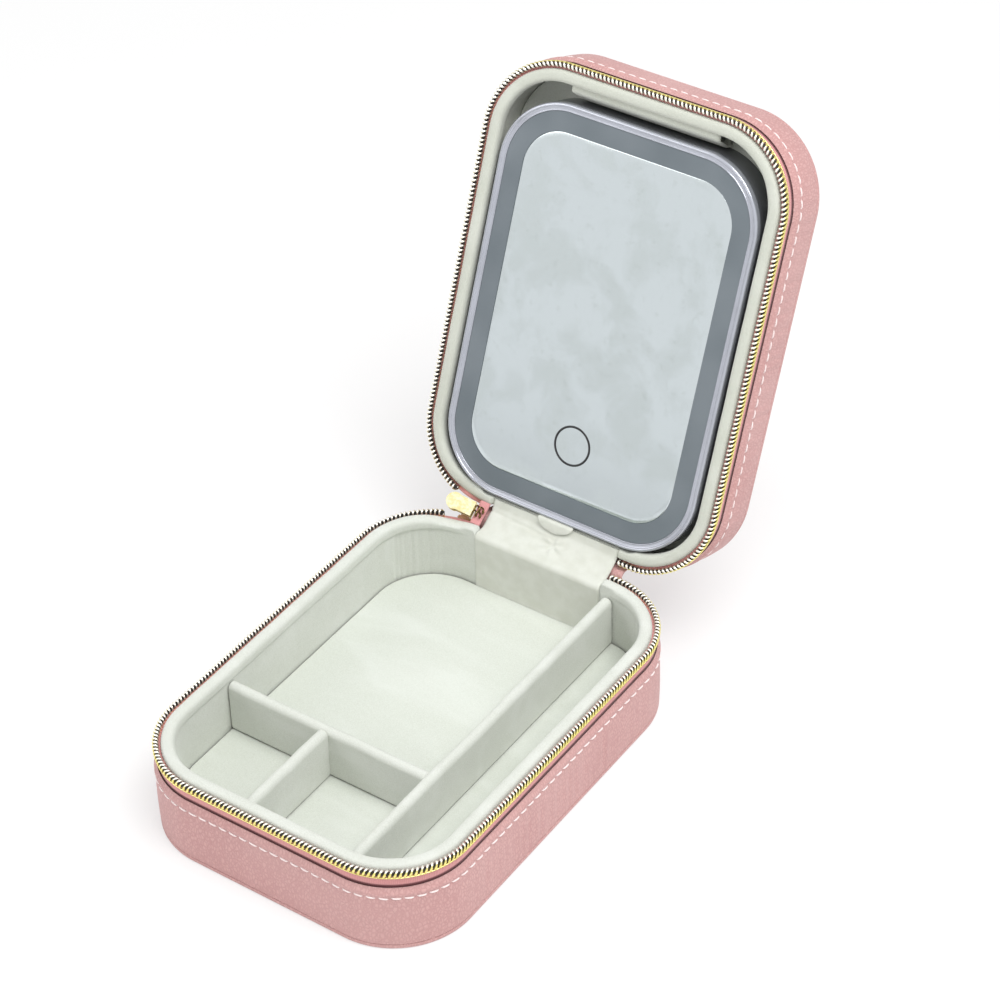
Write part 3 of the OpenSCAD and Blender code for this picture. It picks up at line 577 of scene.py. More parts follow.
# The coil's last colour is a painted highlight on the tops of its loops
coilGold = metalFinish("coilGold", (246, 240, 166), (226, 212, 120), 0.3, 0.6, 0.5, (250, 246, 236))
ridgeGold = metalFinish("ridgeGold", (246, 240, 166), (214, 198, 110), 0.3, 0.6, 0.5)
# A darker brass for the closed stretch behind the slider
coilDarker = metalFinish("coilDarker", (150, 128, 84), (84, 66, 44), 0.34, 0.6, 0.5)
# A near-black cord inside the coil: painted shade for the dark gaps between its loops
coreShade = threadFinish("coreShade", (26, 21, 18))
sliderGold = metalFinish("sliderGold", (252, 246, 214), (240, 226, 160), 0.2, 1.0, 2.0)
thread = threadFinish("threadPale", (255, 240, 238))
woodBoard = boardFinish("fibreBoard", (186, 158, 118), (142, 112, 76))
greyBoard = boardFinish("greyBoard", (168, 160, 148), (130, 122, 110), 0.6)
foam = foamFinish("foamCream")
# The rear case's silver is painted dark grey as painted shade of the narrow gap where its side shows
caseShadedGrey = plasticFinish("caseShadedGrey", (82, 84, 90), 0.3, 0.008, 0.05, Coat_Weight=0.3, Coat_Roughness=0.2)
carrierWhite = plasticFinish("carrierWhite", (232, 233, 232), 0.45)
bezelSilver = plasticFinish("bezelSilver", (178, 181, 191), 0.18, 0.003, 0.04, Coat_Weight=0.6, Coat_Roughness=0.1,
                            Metallic=0.5)
diffuser = diffuserFinish("lightRingFrost")
silvered = mirrorFinish("silveredGlass")
ink = plasticFinish("touchInk", (24, 25, 28), 0.35, 0.01)
circuit = circuitFinish("circuitGreen")
lampYellow = plasticFinish("lampYellow", (244, 222, 110), 0.3, 0.02, 0.1)
cellFoil = metalFinish("cellFoil", (196, 200, 206), (150, 154, 162), 0.32, 1.0, 3.0)
steel = metalFinish("platedSteel", (208, 208, 210), (160, 160, 164), 0.26)

nodeFinish = {
    "base_core": woodBoard, "base_floor_board": woodBoard, "divider_boards": woodBoard,
    "lid_core": greyBoard, "lid_back_panel": velvet, "base_foam": foam, "lid_foam_blocks": foam,
    "mirror_rear_case": caseShadedGrey, "glass_carrier": carrierWhite, "light_ring_cover": diffuser,
    "mirror_glass": silvered, "mirror_bezel": bezelSilver, "touch_ring": ink, "lamp_board": circuit,
    "control_board": circuit, "lamps": lampYellow, "battery": cellFoil, "charging_socket": steel,
    "case_screws": steel, "zip_slider": sliderGold, "zip_pull": sliderGold, "zip_closed_run": coilGold,
    "base_zip_teeth": coilGold, "lid_zip_teeth": coilGold, "base_zip_tape": zipTape,
    "lid_zip_tape": zipTape, "zip_tape_end": zipTape, "base_bottom_cover": leather,
    "base_side_cover": leather, "lid_top_cover": leatherLid, "lid_side_cover": leatherLid,
    "hinge_strip": leather, "base_lining_wall": velvet, "lid_lining_wall": velvetLidShaded,
    "base_floor_pad": velvetFloor, "divider_long": velvetDivider, "divider_cross": velvetDivider,
    "divider_short": velvetDivider, "hinge_flap": cloth, "mirror_stop_bar": velvetLidShaded, "mirror_pull_tab": satin,
}
for nodeName, finish in nodeFinish.items():
    nodes[nodeName].data.materials.clear()
    nodes[nodeName].data.materials.append(finish)
print("finishes ready:", len(bpy.data.materials))


def dress(piece, finish, body, slot, *replaced):
    # Gives a piece its finish and its body, and hides the nodes that it stands for. slot is not used.
    piece.data.materials.append(finish)
    if body:
        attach(piece, body)
    if replaced:
        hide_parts(*replaced)
    return piece


# Leather sides

sidePiece = {
    "seam": 2.0,            # height of the bottom seam
    "stitchBelow": 4.3,     # distance of the stitches from the leather's edge
    "lean": 0.75,           # how far the edge above the stitches leans in
    "bulge": 0.2,
    "wrinkle": 0.12,        # upright creases, deepest in the middle of the long sides
    "wander": 0.16,         # slow waves of the whole side
    "sink": 0.2,            # depth of the line of stitches
    "rise": 0.32,           # how far a stitch stands out
    "stitchPitch": 4.25,
    "stitchLength": 3.5,
    "thread": 0.36,         # radius of the thread
    "turnedIn": 7.0,        # how far the leather goes down inside its top edge
    "step": 0.62,           # between points, along the case and round the profile
    "profileStep": 0.42,
}
stitchCount = round(caseLength / sidePiece["stitchPitch"])
stitchPitch = caseLength / stitchCount


def sideGrid(leatherHeight, seed, fold):
    # A closed profile carried round the case. The outer face bulges as a sine between its seams,
    # sinks as a bell at the stitches, deeper at each hole, and leans in above them. Upright
    # creases are a sum of sines along the run, and fold is the height of the ridge above the stitches.
    side = sidePiece
    h = leatherHeight
    foot, turnedIn = side["seam"] + 0.05, h - side["turnedIn"]
    line = roundedLine([(0.9, foot), (0, foot), (0, h), (1.05, h), (1.05, turnedIn), (0.9, turnedIn)],
                       [0.2, 0.35, 0.45, 0.45, 0.02, 0.02])
    line = divided(line, side["profileStep"])
    s = np.arange(0, caseLength, side["step"])
    inset, z = line[None, :, 0], line[None, :, 1]
    outer = 1 - smooth(inset, 0.1, 0.8)
    stitchZ = h - side["stitchBelow"]
    holes = 0.5 + 0.5 * np.cos(2 * math.pi * s / stitchPitch)[:, None]
    share = np.clip((z - side["seam"]) / (stitchZ - side["seam"]), 0, 1)
    bulge = side["bulge"] * np.sin(math.pi * share ** 0.8)
    middleRight, middleLeft = cornerX + math.pi / 2 * case["corner"] + cornerY, caseLength - cornerX - 47 - cornerY
    along = bell(s, middleRight, 48) + bell(s, middleLeft, 40)
    creases = ripple(s, [61, 83, 97, 127, 151], caseLength, seed + 9) * (0.25 + along)
    bulge = bulge + side["wrinkle"] * creases[:, None] * bell(z, h * 0.42, h * 0.36)
    sink = side["sink"] * bell(z, stitchZ, 0.55) * (0.65 + 0.6 * holes)
    puff = fold * bell(z, stitchZ + 1.6, 1.0)
    lean = side["lean"] * smooth(z, stitchZ + 1.2, h)
    wander = side["wander"] * ripple(s, [3, 5, 8, 13], caseLength, seed)[:, None] * bell(z, h / 2, h / 3)
    return roundCase(s[:, None], inset + outer * (sink + lean - bulge - puff - wander), z)


def stitchRows(leatherHeight):
    # Tubes of thread: each runs along the case between two holes and dips at its ends as t^4
    side = sidePiece
    middle = (np.arange(stitchCount) + 0.5) * stitchPitch
    t = np.linspace(-1, 1, 7)
    turn = np.linspace(0, 2 * math.pi, 6, endpoint=False)
    s = middle[:, None] + t[None, :] * side["stitchLength"] / 2
    rise = side["rise"] * (1 - t ** 4) - 0.06
    radius = side["thread"] * np.sqrt(np.clip(1.02 - np.abs(t) ** 4, 0.05, 1))
    slant = 0.12 * t + 0.05 * np.random.default_rng(5).standard_normal((stitchCount, 1))
    inset = side["sink"] - rise[None, :, None] + radius[None, :, None] * np.cos(turn)
    z = leatherHeight - side["stitchBelow"] + slant[:, :, None] + radius[None, :, None] * np.sin(turn)
    return roundCase(s[:, :, None], inset, z)


def tubesMesh(name, tubes):
    # Many tubes in one mesh, with closed ends
    count, rows, columns = tubes.shape[:3]
    quads = gridQuads(rows, columns, False, True)
    quads = (np.arange(count)[:, None, None] * rows * columns + quads[None]).reshape(-1, 4)
    first = np.arange(columns)[::-1]
    last = (rows - 1) * columns + np.arange(columns)
    ends = [k * rows * columns + e for k in range(count) for e in (first, last)]
    return buildMesh(name, tubes, quads, ends)


for label, height, seed, fold, finish, place in [
        ("Base", case["baseLeather"], 3, 0.24, leather, asBuilt),
        ("Lid", case["lidLeather"], 4, 0.42, leatherLid, lidToOpen)]:
    body = label.lower()
    side = surface("leatherSide" + label, place(sideGrid(height, seed, fold)), True, True)
    dress(side, finish, body, "leather", body + "_side_cover")
    dress(tubesMesh("stitches" + label, place(stitchRows(height))), thread, body, "leather")
print("leather sides and stitches made")


# Bottom and top panels

panelPiece = {"lip": 2.0, "fold": 0.9, "thickness": 1.4, "crown": 0.7}


def shrunkRings(ring, shrink):
    # Copies of a ring of points, drawn towards the origin's upright by each share
    scale = np.stack([shrink, shrink, np.ones(len(shrink))], -1)
    return ring[None] * scale[:, None]


def panelRings(crown):
    # A plate from its middle outwards: rings of the outline shrunk towards the centre, then the
    # fold and lip as a profile of inset and height, and back under. Crown lifts the middle.
    s = np.arange(0, caseLength, 1.2)
    fold, lip, thickness = panelPiece["fold"], panelPiece["lip"], panelPiece["thickness"]
    turn = np.linspace(0, math.pi / 2, 6)
    profile = [(5.0, 0.0), (2.0, 0.0)] + [(fold - fold * math.sin(a), fold - fold * math.cos(a)) for a in turn]
    profile += [(0.0, lip - 0.35), (0.12, lip - 0.1), (0.4, lip), (1.0, lip), (1.0, lip - 0.6)]
    profile += [(3.0, thickness), (5.0, thickness)]
    rim = np.stack([roundCase(s, i, z) for i, z in profile])
    shrink = np.linspace(0.12, 0.97, 14)
    low = shrunkRings(rim[0], shrink)
    low[..., 2] = -crown * (1 - shrink[:, None] ** 2.5) ** 1.2
    high = shrunkRings(rim[-1], shrink)
    return np.concatenate([low, rim, high[::-1]]), [0, 0, -crown], [0, 0, thickness]


for name, crown, finish, body, replaced, place in [
        ("leatherBottomPanel", 0.0, leather, "base", "base_bottom_cover", asBuilt),
        ("leatherTopPanel", panelPiece["crown"], leatherLid, "lid", "lid_top_cover", lidToOpen)]:
    rings, low, high = panelRings(crown)
    panel = cappedShape(name, place(rings), *place(np.array([low, high], float)))
    dress(panel, finish, body, "leather", replaced)
print("panels made")


# Zip

zipPiece = {
    "middle": 1.425,        # inset of the middle of the closed teeth
    "below": 1.45,          # from the plane where base and lid meet to the middle of a row
    "outwards": 0.4,        # how far an open row falls outwards from there, and down
    "down": 0.5,
    "loosens": 10.0,        # length over which it does so, from either end
    "pitch": 1.65,
    "halfWidth": 0.8,
    "halfHeight": 1.25,
    "wire": 0.33,
    "broad": 0.24,          # extra width of each loop on its top and on its outer face
    "slant": -0.5,          # how far a loop's bars lean along the run
    "gap": 28.5,            # half of the stretch without teeth behind the hinge
    "closedEnd": 27.4,      # where the closed stretch ends, left of the middle
    "closedApart": 0.95,    # from the parting plane to the middle of either closed row
    "sliderAngle": 12.0,
    "sliderLength": 11.0,
}
arcTeeth, arcCase = math.pi / 2 * (case["corner"] - zipPiece["middle"]), math.pi / 2 * case["corner"]
teethLength = caseLength - 2 * math.pi * zipPiece["middle"]
sliderBack = (cornerX + math.radians(zipPiece["sliderAngle"]) * (case["corner"] - zipPiece["middle"])
              + zipPiece["sliderLength"] / 2)


def caseAt(s):
    # Length along the outline of the leather for a length along the teeth: straights keep their
    # length and arcs grow by the ratio of the radii.
    x, y = cornerX, 2 * cornerY
    teeth, leatherRun = (np.cumsum([0, x, arc, y, arc, 2 * x, arc, y, arc, x]) for arc in (arcTeeth, arcCase))
    return np.interp(s, teeth, leatherRun)


def rowPlace(s, first, last, parting):
    # Inset and drop of a row's middle at length s: closed at both ends and fallen outwards between
    zipper = zipPiece
    loose = parting * smooth(s, first, first + zipper["loosens"]) * (1 - smooth(s, last - zipper["loosens"], last))
    return zipper["middle"] - zipper["outwards"] * loose, -zipper["down"] * loose


def coilTube(first, last, middleZ, squeeze=1.0, parting=1.0):
    # A wire wound as a flattened coil along the zip: a superellipse in the plane across the run,
    # which moves on by one pitch in each turn and wobbles along the run so that its bars slant. The
    # wire is broader on the top and on the outer face and thin at the shoulder between them, so the
    # loops show as two rows, half a pitch apart. The map counts turns along the wire.
    zipper = zipPiece
    count = round((last - first) / zipper["pitch"])
    pitch = (last - first) / count
    stepsPerTurn, sides = 14, 6
    k = np.arange(count * stepsPerTurn + 1)
    turn = 2 * math.pi * k / stepsPerTurn
    across, up = (np.sign(v) * np.abs(v) ** 0.72 for v in (np.cos(turn), np.sin(turn)))
    across = zipper["halfWidth"] * across                         # towards the inside of the case
    up = zipper["halfHeight"] * squeeze * up
    along = first + pitch * turn / (2 * math.pi) + zipper["slant"] * 0.5 * np.sin(turn + 0.6)
    broad = sum(bell((turn - at + math.pi) % (2 * math.pi), math.pi, 0.42) for at in (0.45 * math.pi, 1.05 * math.pi))
    tangent = np.stack([np.gradient(across), np.gradient(up)], -1)
    tangent /= np.linalg.norm(tangent, axis=1, keepdims=True) + 1e-9
    normal = np.stack([tangent[:, 1], -tangent[:, 0]], -1)
    side = np.linspace(0, 2 * math.pi, sides, endpoint=False)
    alongRadius = (zipper["wire"] + zipper["broad"] * broad)[:, None]
    rowInset, drop = rowPlace(along, first, last, parting)
    inset = (rowInset + across)[:, None] + normal[:, :1] * zipper["wire"] * np.cos(side)
    z = middleZ + (drop + up)[:, None] + normal[:, 1:] * zipper["wire"] * np.cos(side)
    s = along[:, None] + alongRadius * np.sin(side)
    return roundCase(caseAt(s), inset, z), (turn / (2 * math.pi), np.arange(sides + 1) / sides)


def strandTube(first, last, middleZ, inwards, up, radiusAcross, radiusUp):
    # A strand of elliptic section beside the middle of an open row
    s = np.linspace(first, last, int((last - first) / 0.9))[:, None]
    turn = np.linspace(0, 2 * math.pi, 10, endpoint=False)[None]
    rowInset, drop = rowPlace(s, first, last, 1.0)
    z = middleZ + drop + up + radiusUp * np.sin(turn)
    return roundCase(caseAt(s), rowInset + inwards + radiusAcross * np.cos(turn), z)


def tapeGrid(leatherHeight, seed):
    # The tape as a closed profile: up behind the leather to the teeth, with a flange that runs
    # inwards to the lining. It waves a little along the run.
    top = leatherHeight + 5.35
    line = roundedLine([(1.3, leatherHeight - 5), (1.25, leatherHeight), (1.12, top), (1.6, top), (1.72, top - 0.3),
                        (3.4, top - 0.2), (3.4, top - 0.7), (1.72, top - 0.9), (1.8, leatherHeight - 5)],
                       [0.1, 0.4, 0.15, 0.15, 0.2, 0.1, 0.1, 0.4, 0.1], 3)
    line = divided(line, 0.6)
    edges = np.diff(np.concatenate([line, line[:1]]), axis=0)
    s = np.linspace(zipPiece["gap"] + 0.2, caseLength - cornerX, 380)     # clear of the end of the teeth
    wave = 0.07 * ripple(s, [9, 17, 29], caseLength, seed)[:, None] * smooth(line[:, 1], leatherHeight, top)[None]
    run = np.concatenate([[0], np.cumsum(np.linalg.norm(edges, axis=1))])
    return roundCase(s[:, None], line[None, :, 0] + wave, line[None, :, 1]), (s, run)


def tube(name, grid, runs=None):
    # A profile carried along a path, closed round the profile and at both ends
    return surface(name, grid, False, True, runs, closeEnds=True)


rowFrom, rowTo = zipPiece["gap"], teethLength - sliderBack
for label, height, seed, place in [
        ("Base", case["baseLeather"], 21, asBuilt),
        ("Lid", case["lidLeather"], 22, lidToOpen)]:
    body = label.lower()
    middleZ = height + case["zipShow"] - zipPiece["below"]
    wire, turns = coilTube(rowFrom, rowTo, middleZ)
    dress(tube("zipCoil" + label, place(wire), turns), coilGold, body, "brass", body + "_zip_teeth")
    ridge = strandTube(rowFrom, rowTo, middleZ, -0.62, -1.2, 0.3, 0.24)
    dress(tube("zipRidge" + label, place(ridge)), ridgeGold, body, "brass")
    # The dark core fills the coil as painted shade between its loops
    core = strandTube(rowFrom, rowTo, middleZ, 0.0, 0.0, 0.55, 1.0)
    dress(tube("zipCoreShade" + label, place(core)), coreShade, body, "zip_tape")
    tape, runs = tapeGrid(height, seed)
    dress(tube("zipTape" + label, place(tape), runs), zipTape, body, "zip_tape", body + "_zip_tape")


def roundedEnds(first, last, radius, count):
    # Places along a bar, closer together at both ends, and how far its section is drawn in at
    # each of them: the gap between a square corner and a quarter circle
    near = np.linspace(0, math.pi / 2, 6)
    middle = np.linspace(first + radius, last - radius, count)[1:-1]
    places = [first + radius * (1 - np.cos(near)), middle, last - radius * (1 - np.cos(near[::-1]))]
    drawnIn = radius * (1 - np.sin(near))
    return np.concatenate(places), np.concatenate([drawnIn, np.zeros(len(middle)), drawnIn[::-1]])


def softBar(x0, x1, corners, radius, step=0.7):
    # A stuffed bar along X: an outline with rounded corners, which shrinks at both ends as a
    # quarter circle
    line = divided(roundedLine(corners, [radius] * len(corners), 7), step * 0.8)
    at, shrink = roundedEnds(x0, x1, radius, max(3, int((x1 - x0) / step)))
    shrink = 0.9 * shrink
    middle = (line.min(0) + line.max(0)) / 2
    scale = 1 - shrink[:, None, None] / ((line.max(0) - line.min(0)) / 2)[None, None]
    plane = middle + (line[None] - middle) * scale
    return np.concatenate([np.broadcast_to(at[:, None, None], plane.shape[:2] + (1,)), plane], -1)


# The closed stretch behind the slider: two rows of loops that mesh, tilted half way
closedFrom = rowTo + zipPiece["sliderLength"] + 0.3
closedTo = teethLength - zipPiece["closedEnd"] - 0.8
for label, side, shift, replaced in [("Low", -1, 0.0, ["zip_closed_run"]), ("High", 1, 0.4, [])]:
    middleZ = partingZ + side * zipPiece["closedApart"]
    wire, turns = coilTube(closedFrom + shift, closedTo + shift, middleZ, 0.75, 0.0)
    dress(tube("zipClosed" + label, halfOpen(wire), turns), coilDarker, "zip_slider", "brass", *replaced)

# The sewn end of both tapes: an upright leaf behind the closed stretch and a tongue to the hinge
endY = case["halfLength"] - 0.575
for label, x0, x1, y0, y1, height, replaced in [
        ("Leaf", -31.6, -zipPiece["closedEnd"], endY, endY + 0.65, 4.6, ["zip_tape_end"]),
        ("Tongue", -31.0, -zipPiece["gap"], endY + 0.3, endY + 3.4, 0.6, [])]:
    low, high = partingZ - height, partingZ + height
    leaf = softBar(x0, x1, [(y0, low), (y1, low), (y1, high), (y0, high)], 0.3, 0.4)
    runs = (np.arange(leaf.shape[0]) * 0.4, np.arange(leaf.shape[1] + 1) * 0.32)
    dress(tube("zipTape" + label, halfOpen(leaf), runs), zipTapeEnd, "zip_slider", "zip_tape", *replaced)
print("zip made")


# Padded lining

liningPiece = {
    "rimOut": 2.8,
    "baseRimIn": 7.5,
    "lidRimIn": 7.3,
    "below": 0.3,           # from the plane where base and lid meet to the top of the roll
    "rollDeep": 3.9,
    "baseFoot": 5.3,
    "lidFoot": 3.0,
    "flapHalf": 27.3,       # half of the width that the flap covers
    "flapDrop": 2.4,        # how far the roll is pressed down there
    "sliderRoom": 1.5,
    "step": 0.6,
}


def liningGrid(leatherHeight, wallInset, foot, rimIn, pleats, seed):
    # The rim's round roll and the wall under it, as one closed profile carried round the case.
    # The roll drops behind, under the flap, and swells and sinks a little along the run; pleats
    # are bells across the run that press into the wall and fade towards the rim.
    lining = liningPiece
    top = leatherHeight + case["zipShow"] - lining["below"]
    out, under = lining["rimOut"], top - lining["rollDeep"]
    line = roundedLine([(out, foot), (out, top), (rimIn, top), (rimIn, under),
                        (wallInset, under - 0.8), (wallInset, foot)], [0.1, 1.9, 2.1, 0.4, 0.4, 0.1], 9)
    line = divided(line, 0.5)
    s = np.arange(0, caseLength, lining["step"])
    x, y, angle = walk(s, case["halfWidth"], case["halfLength"], case["corner"])
    inset, z = line[None, :, 0], line[None, :, 1]
    atFlap = (smooth(lining["flapHalf"] - np.abs(x), -0.5, 0.5) * (y > 0) * (np.sin(angle) > 0.9))[:, None]
    drop = lining["flapDrop"] * atFlap * smooth(z, top - 5.5, top - 2.0)
    swell = 0.1 * ripple(s, [4, 7, 11, 19, 31], caseLength, seed)[:, None] * smooth(z, top - 6, top - 2)
    # Behind the flap the roll doesn't reach over the wall
    behind = (smooth(lining["flapHalf"] + 8 - np.abs(x), 0, 5) * (y > 0))[:, None]
    inset = inset - behind * np.clip(inset - wallInset, 0, None)
    # Room for the slider behind the left corner
    sliderRoom = lining["sliderRoom"] * bell(s, caseLength - sliderBack + 4, 8)[:, None] * smooth(z, top - 3, top)
    press = np.zeros((len(s), 1))
    for place, width, depth in pleats:
        away = np.minimum(np.abs(s - place), caseLength - np.abs(s - place))[:, None]
        press = press + depth * bell(away, 0, width)
    onWall = smooth(inset, (out + wallInset) / 2, wallInset - 0.3) * smooth(-z, -(top - 2.5), -(top - 6))
    return roundCase(s[:, None], inset - press * onWall, z - drop + swell - sliderRoom)


# Length along the case, width and depth of each pleat; those of the left rear corner come first
rearLeft = caseLength - cornerX - math.pi / 2 * case["corner"]
frontLeft = rearLeft - 2 * cornerY - math.pi / 2 * case["corner"]
basePleats = [(rearLeft + 12, 0.8, 0.34), (rearLeft + 14.4, 0.55, 0.42), (rearLeft + 17.2, 0.9, 0.3),
              (rearLeft + 20.5, 0.6, 0.36), (rearLeft + 24, 1.0, 0.22), (rearLeft + 29, 0.7, 0.25),
              (rearLeft + 35, 1.1, 0.18), (frontLeft + 14, 0.6, 0.3), (frontLeft + 17, 0.8, 0.24),
              (frontLeft + 33, 0.7, 0.18), (cornerX + 18, 0.8, 0.28), (cornerX + 24, 0.6, 0.26)]
lidPleats = [(cornerX + 20, 0.9, 0.3), (rearLeft + 16, 0.7, 0.3), (frontLeft + 20, 0.8, 0.35),
             (frontLeft + 26, 0.7, 0.3)]
for label, wallInset, pleats, seed, finish, place in [
        ("Base", case["wallInset"], basePleats, 31, velvet, asBuilt),
        ("Lid", case["lidWallInset"], lidPleats, 32, velvetLidShaded, lidToOpen)]:
    body = label.lower()
    foot, rimIn = liningPiece[body + "Foot"], liningPiece[body + "RimIn"]
    grid = liningGrid(case[body + "Leather"], wallInset, foot, rimIn, pleats, seed)
    lining = surface("lining" + label, place(grid), True, True)
    dress(lining, finish, body, "velvet", body + "_lining_wall")
print("linings made")


# Floor

floorPiece = {"inset": 7.3, "thickness": 1.2, "edge": 0.6}


def floorRings():
    # A thin pad: rings shrunk towards the middle, and an edge rounded as a quarter circle
    s = np.arange(0, caseLength, 1.2)
    turn = np.linspace(0, math.pi / 2, 5)
    edge, top = floorPiece["edge"], case["floor"]
    inset, under = floorPiece["inset"], top - floorPiece["thickness"]
    profile = [(8.0, top)] + [(inset + edge * (1 - math.sin(a)), top - edge * (1 - math.cos(a))) for a in turn]
    rim = np.stack([roundCase(s, i, z) for i, z in profile + [(inset, under), (8.0, under)]])
    shrink = np.linspace(0.08, 0.97, 22)
    high = shrunkRings(rim[0], shrink)
    high[..., 2] += 0.05 * np.sin(high[..., 0] / 9) * np.cos(high[..., 1] / 12)
    return np.concatenate([high, rim, shrunkRings(rim[-1], shrink)[::-1]]), [0, 0, top], [0, 0, under]


dress(cappedShape("floorPad", *floorRings()), velvetFloor, "base", "velvet", "base_floor_pad")


# Dividers

dividerPiece = {
    "thickness": 4.2,
    "height": 20.6,
    "edge": 0.7,
    "gap": 0.35,            # between a divider's end and the wall
    "meet": 1.7,            # from a divider's end to the middle of the divider that it meets
    "foot": 0.42,           # height of the gap under it, a seam darkened with painted shade
    "longRoom": 22.0,       # clear sizes of the rooms
    "frontRoom": 43.7,
    "leftRoom": 39.4,
}


def dividerGrid(start, end, seed):
    # A wrapped board from start to end on the floor: an upright outline with a full round top,
    # swept along its length and drawn in at both ends as the edge of a rounded box.
    piece = dividerPiece
    start, end = np.array(start, float), np.array(end, float)
    length = np.linalg.norm(end - start)
    direction = (end - start) / length
    side = np.array([-direction[1], direction[0]])
    half, top = piece["thickness"] / 2, piece["height"]
    arch = np.linspace(0, math.pi, 13)
    foot, wallZ = piece["foot"], np.linspace(2, top - half - 1, 9)
    toe = np.array([(half - 0.45, foot), (half - 0.12, foot + 0.12), (half, foot + 0.5)])
    outline = np.concatenate([toe, np.stack([np.full(9, half), wallZ], -1),
                              np.stack([half * np.cos(arch), top - half + half * np.sin(arch)], -1),
                              np.stack([np.full(9, -half), wallZ[::-1]], -1), toe[::-1] * (-1, 1)])
    at, inward = roundedEnds(0, length, piece["edge"], int(length / 1.2))
    shift = 0.07 * ripple(at, [1.3, 2.1, 3.4], length, seed)
    wave = 0.06 * ripple(at, [1.7, 2.9, 4.3], length, seed + 1)
    across, height = outline[None, :, 0], outline[None, :, 1]
    upwards = smooth(height, 2, top)
    x = across * (1 - inward[:, None] / half) + shift[:, None] * upwards
    z = height - inward[:, None] * upwards + wave[:, None] * smooth(height, 8, top)
    plan = start[None, None] + direction * at[:, None, None] + side * x[..., None]
    return np.concatenate([plan, (case["floor"] + z)[..., None]], -1)


roomX, roomY = case["halfWidth"] - case["wallInset"], case["halfLength"] - case["wallInset"]
gap, meet, halfBoard = dividerPiece["gap"], dividerPiece["meet"], dividerPiece["thickness"] / 2
longX = roomX - dividerPiece["longRoom"] - halfBoard
crossY = -roomY + dividerPiece["frontRoom"] + halfBoard
shortX = -roomX + dividerPiece["leftRoom"] + halfBoard
for name, start, end, node, seed in [
        ("dividerLong", (longX, -roomY + gap), (longX, roomY - gap), "divider_long", 41),
        ("dividerCross", (-roomX + gap, crossY), (longX - meet, crossY), "divider_cross", 43),
        ("dividerShort", (shortX, -roomY + gap), (shortX, crossY - meet), "divider_short", 45)]:
    dress(tube(name, dividerGrid(start, end, seed)), velvetDivider, "base", "velvet", node)
print("floor and dividers made")


# Hinge: flap of lining cloth inside, leather strip outside

flapPiece = {
    "halfWidth": 26.8,
    "thickness": 0.8,
    "turn": 1.7,            # radius of the turn over the wall
    "lift": 0.55,           # from the pressed roll of the base, and of the lid, to the middle of the cloth
    "lidLift": 0.5,
    "pucker": (1.5, 8.5),   # its place: from the middle, and back from the end in the lid
    "puckerDepth": 0.5,
}


def curve(start, lead, trail, end):
    # The cubic curve from start to end that leaves along lead and arrives along trail
    t = np.linspace(0, 1, 15)[:, None]
    return ((1 - t) ** 3 * start + 3 * t * (1 - t) ** 2 * (start + lead)
            + 3 * t * t * (1 - t) * (end - trail) + t ** 3 * end)


def openPoint(y, z):
    # Place across the hinge, in the open lid, of a point of the closed lid
    return closedToOpen(np.array([0.0, y, z]))[1:]


def bentSheet(line, halfWidth, thickness, ripples, step=0.7, widthAt=None):
    # A sheet with thickness that follows a line in the plane across the hinge: both faces and the
    # edges as one closed grid. ripples(u, v, length) lifts both faces along the normal, and
    # widthAt(v, length) gives the share of the full width at v.
    line = divided(np.array(line), step, closed=False)
    direction = np.gradient(line, axis=0)
    direction /= np.linalg.norm(direction, axis=1, keepdims=True)
    normal = np.stack([-direction[:, 1], direction[:, 0]], -1)
    run = np.concatenate([[0], np.cumsum(np.linalg.norm(np.diff(line, axis=0), axis=1))])
    across = np.linspace(-halfWidth, halfWidth, int(2 * halfWidth / step))
    lift = ripples(across[None, :], run[:, None], run[-1])
    past = np.clip(np.abs(across) - halfWidth + thickness / 2, 0, None) / (thickness / 2)
    edge = np.sqrt(np.clip(1 - past ** 2, 0.04, 1))                # rounds both long edges
    share = np.ones(len(run)) if widthAt is None else widthAt(run, run[-1])
    faces = []
    for sign in (1, -1):
        offset = lift + sign * edge[None] * thickness / 2
        flat = line[:, None] + normal[:, None] * offset[..., None]
        faces.append(np.concatenate([(share[:, None] * across[None])[..., None], flat], -1))
    grid = np.concatenate([faces[0], faces[1][:, ::-1]], 1)
    widths = np.concatenate([across, across[::-1]]) + halfWidth
    return grid, (run, np.append(widths, widths[0])), run[-1]


wallY = case["halfLength"] - case["wallInset"] - 0.41           # middle of the cloth on the rear wall
rimY = case["halfLength"] - case["rimInset"]
rise = partingZ - liningPiece["below"] - liningPiece["flapDrop"] + flapPiece["lift"]
lidRise = partingZ + liningPiece["below"] + liningPiece["flapDrop"] - flapPiece["lidLift"]
turn = flapPiece["turn"]
flapFrom = np.array([rimY, rise])
flapTo = openPoint(rimY, lidRise)
flapEnd = openPoint(case["halfLength"] - case["lidWallInset"] + 0.3, lidRise)
onward = (flapEnd - flapTo) / np.linalg.norm(flapEnd - flapTo)
flapLine = [(wallY, case["floor"] + 0.1), (wallY, rise - turn - 1)]
flapLine += [(wallY + turn + turn * math.cos(a), rise - turn + turn * math.sin(a))
             for a in np.linspace(math.pi, math.pi / 2, 11)]
flapLine = np.concatenate([flapLine, curve(flapFrom, np.array([1.2, 0]), 1.2 * onward, flapTo), [flapEnd]])


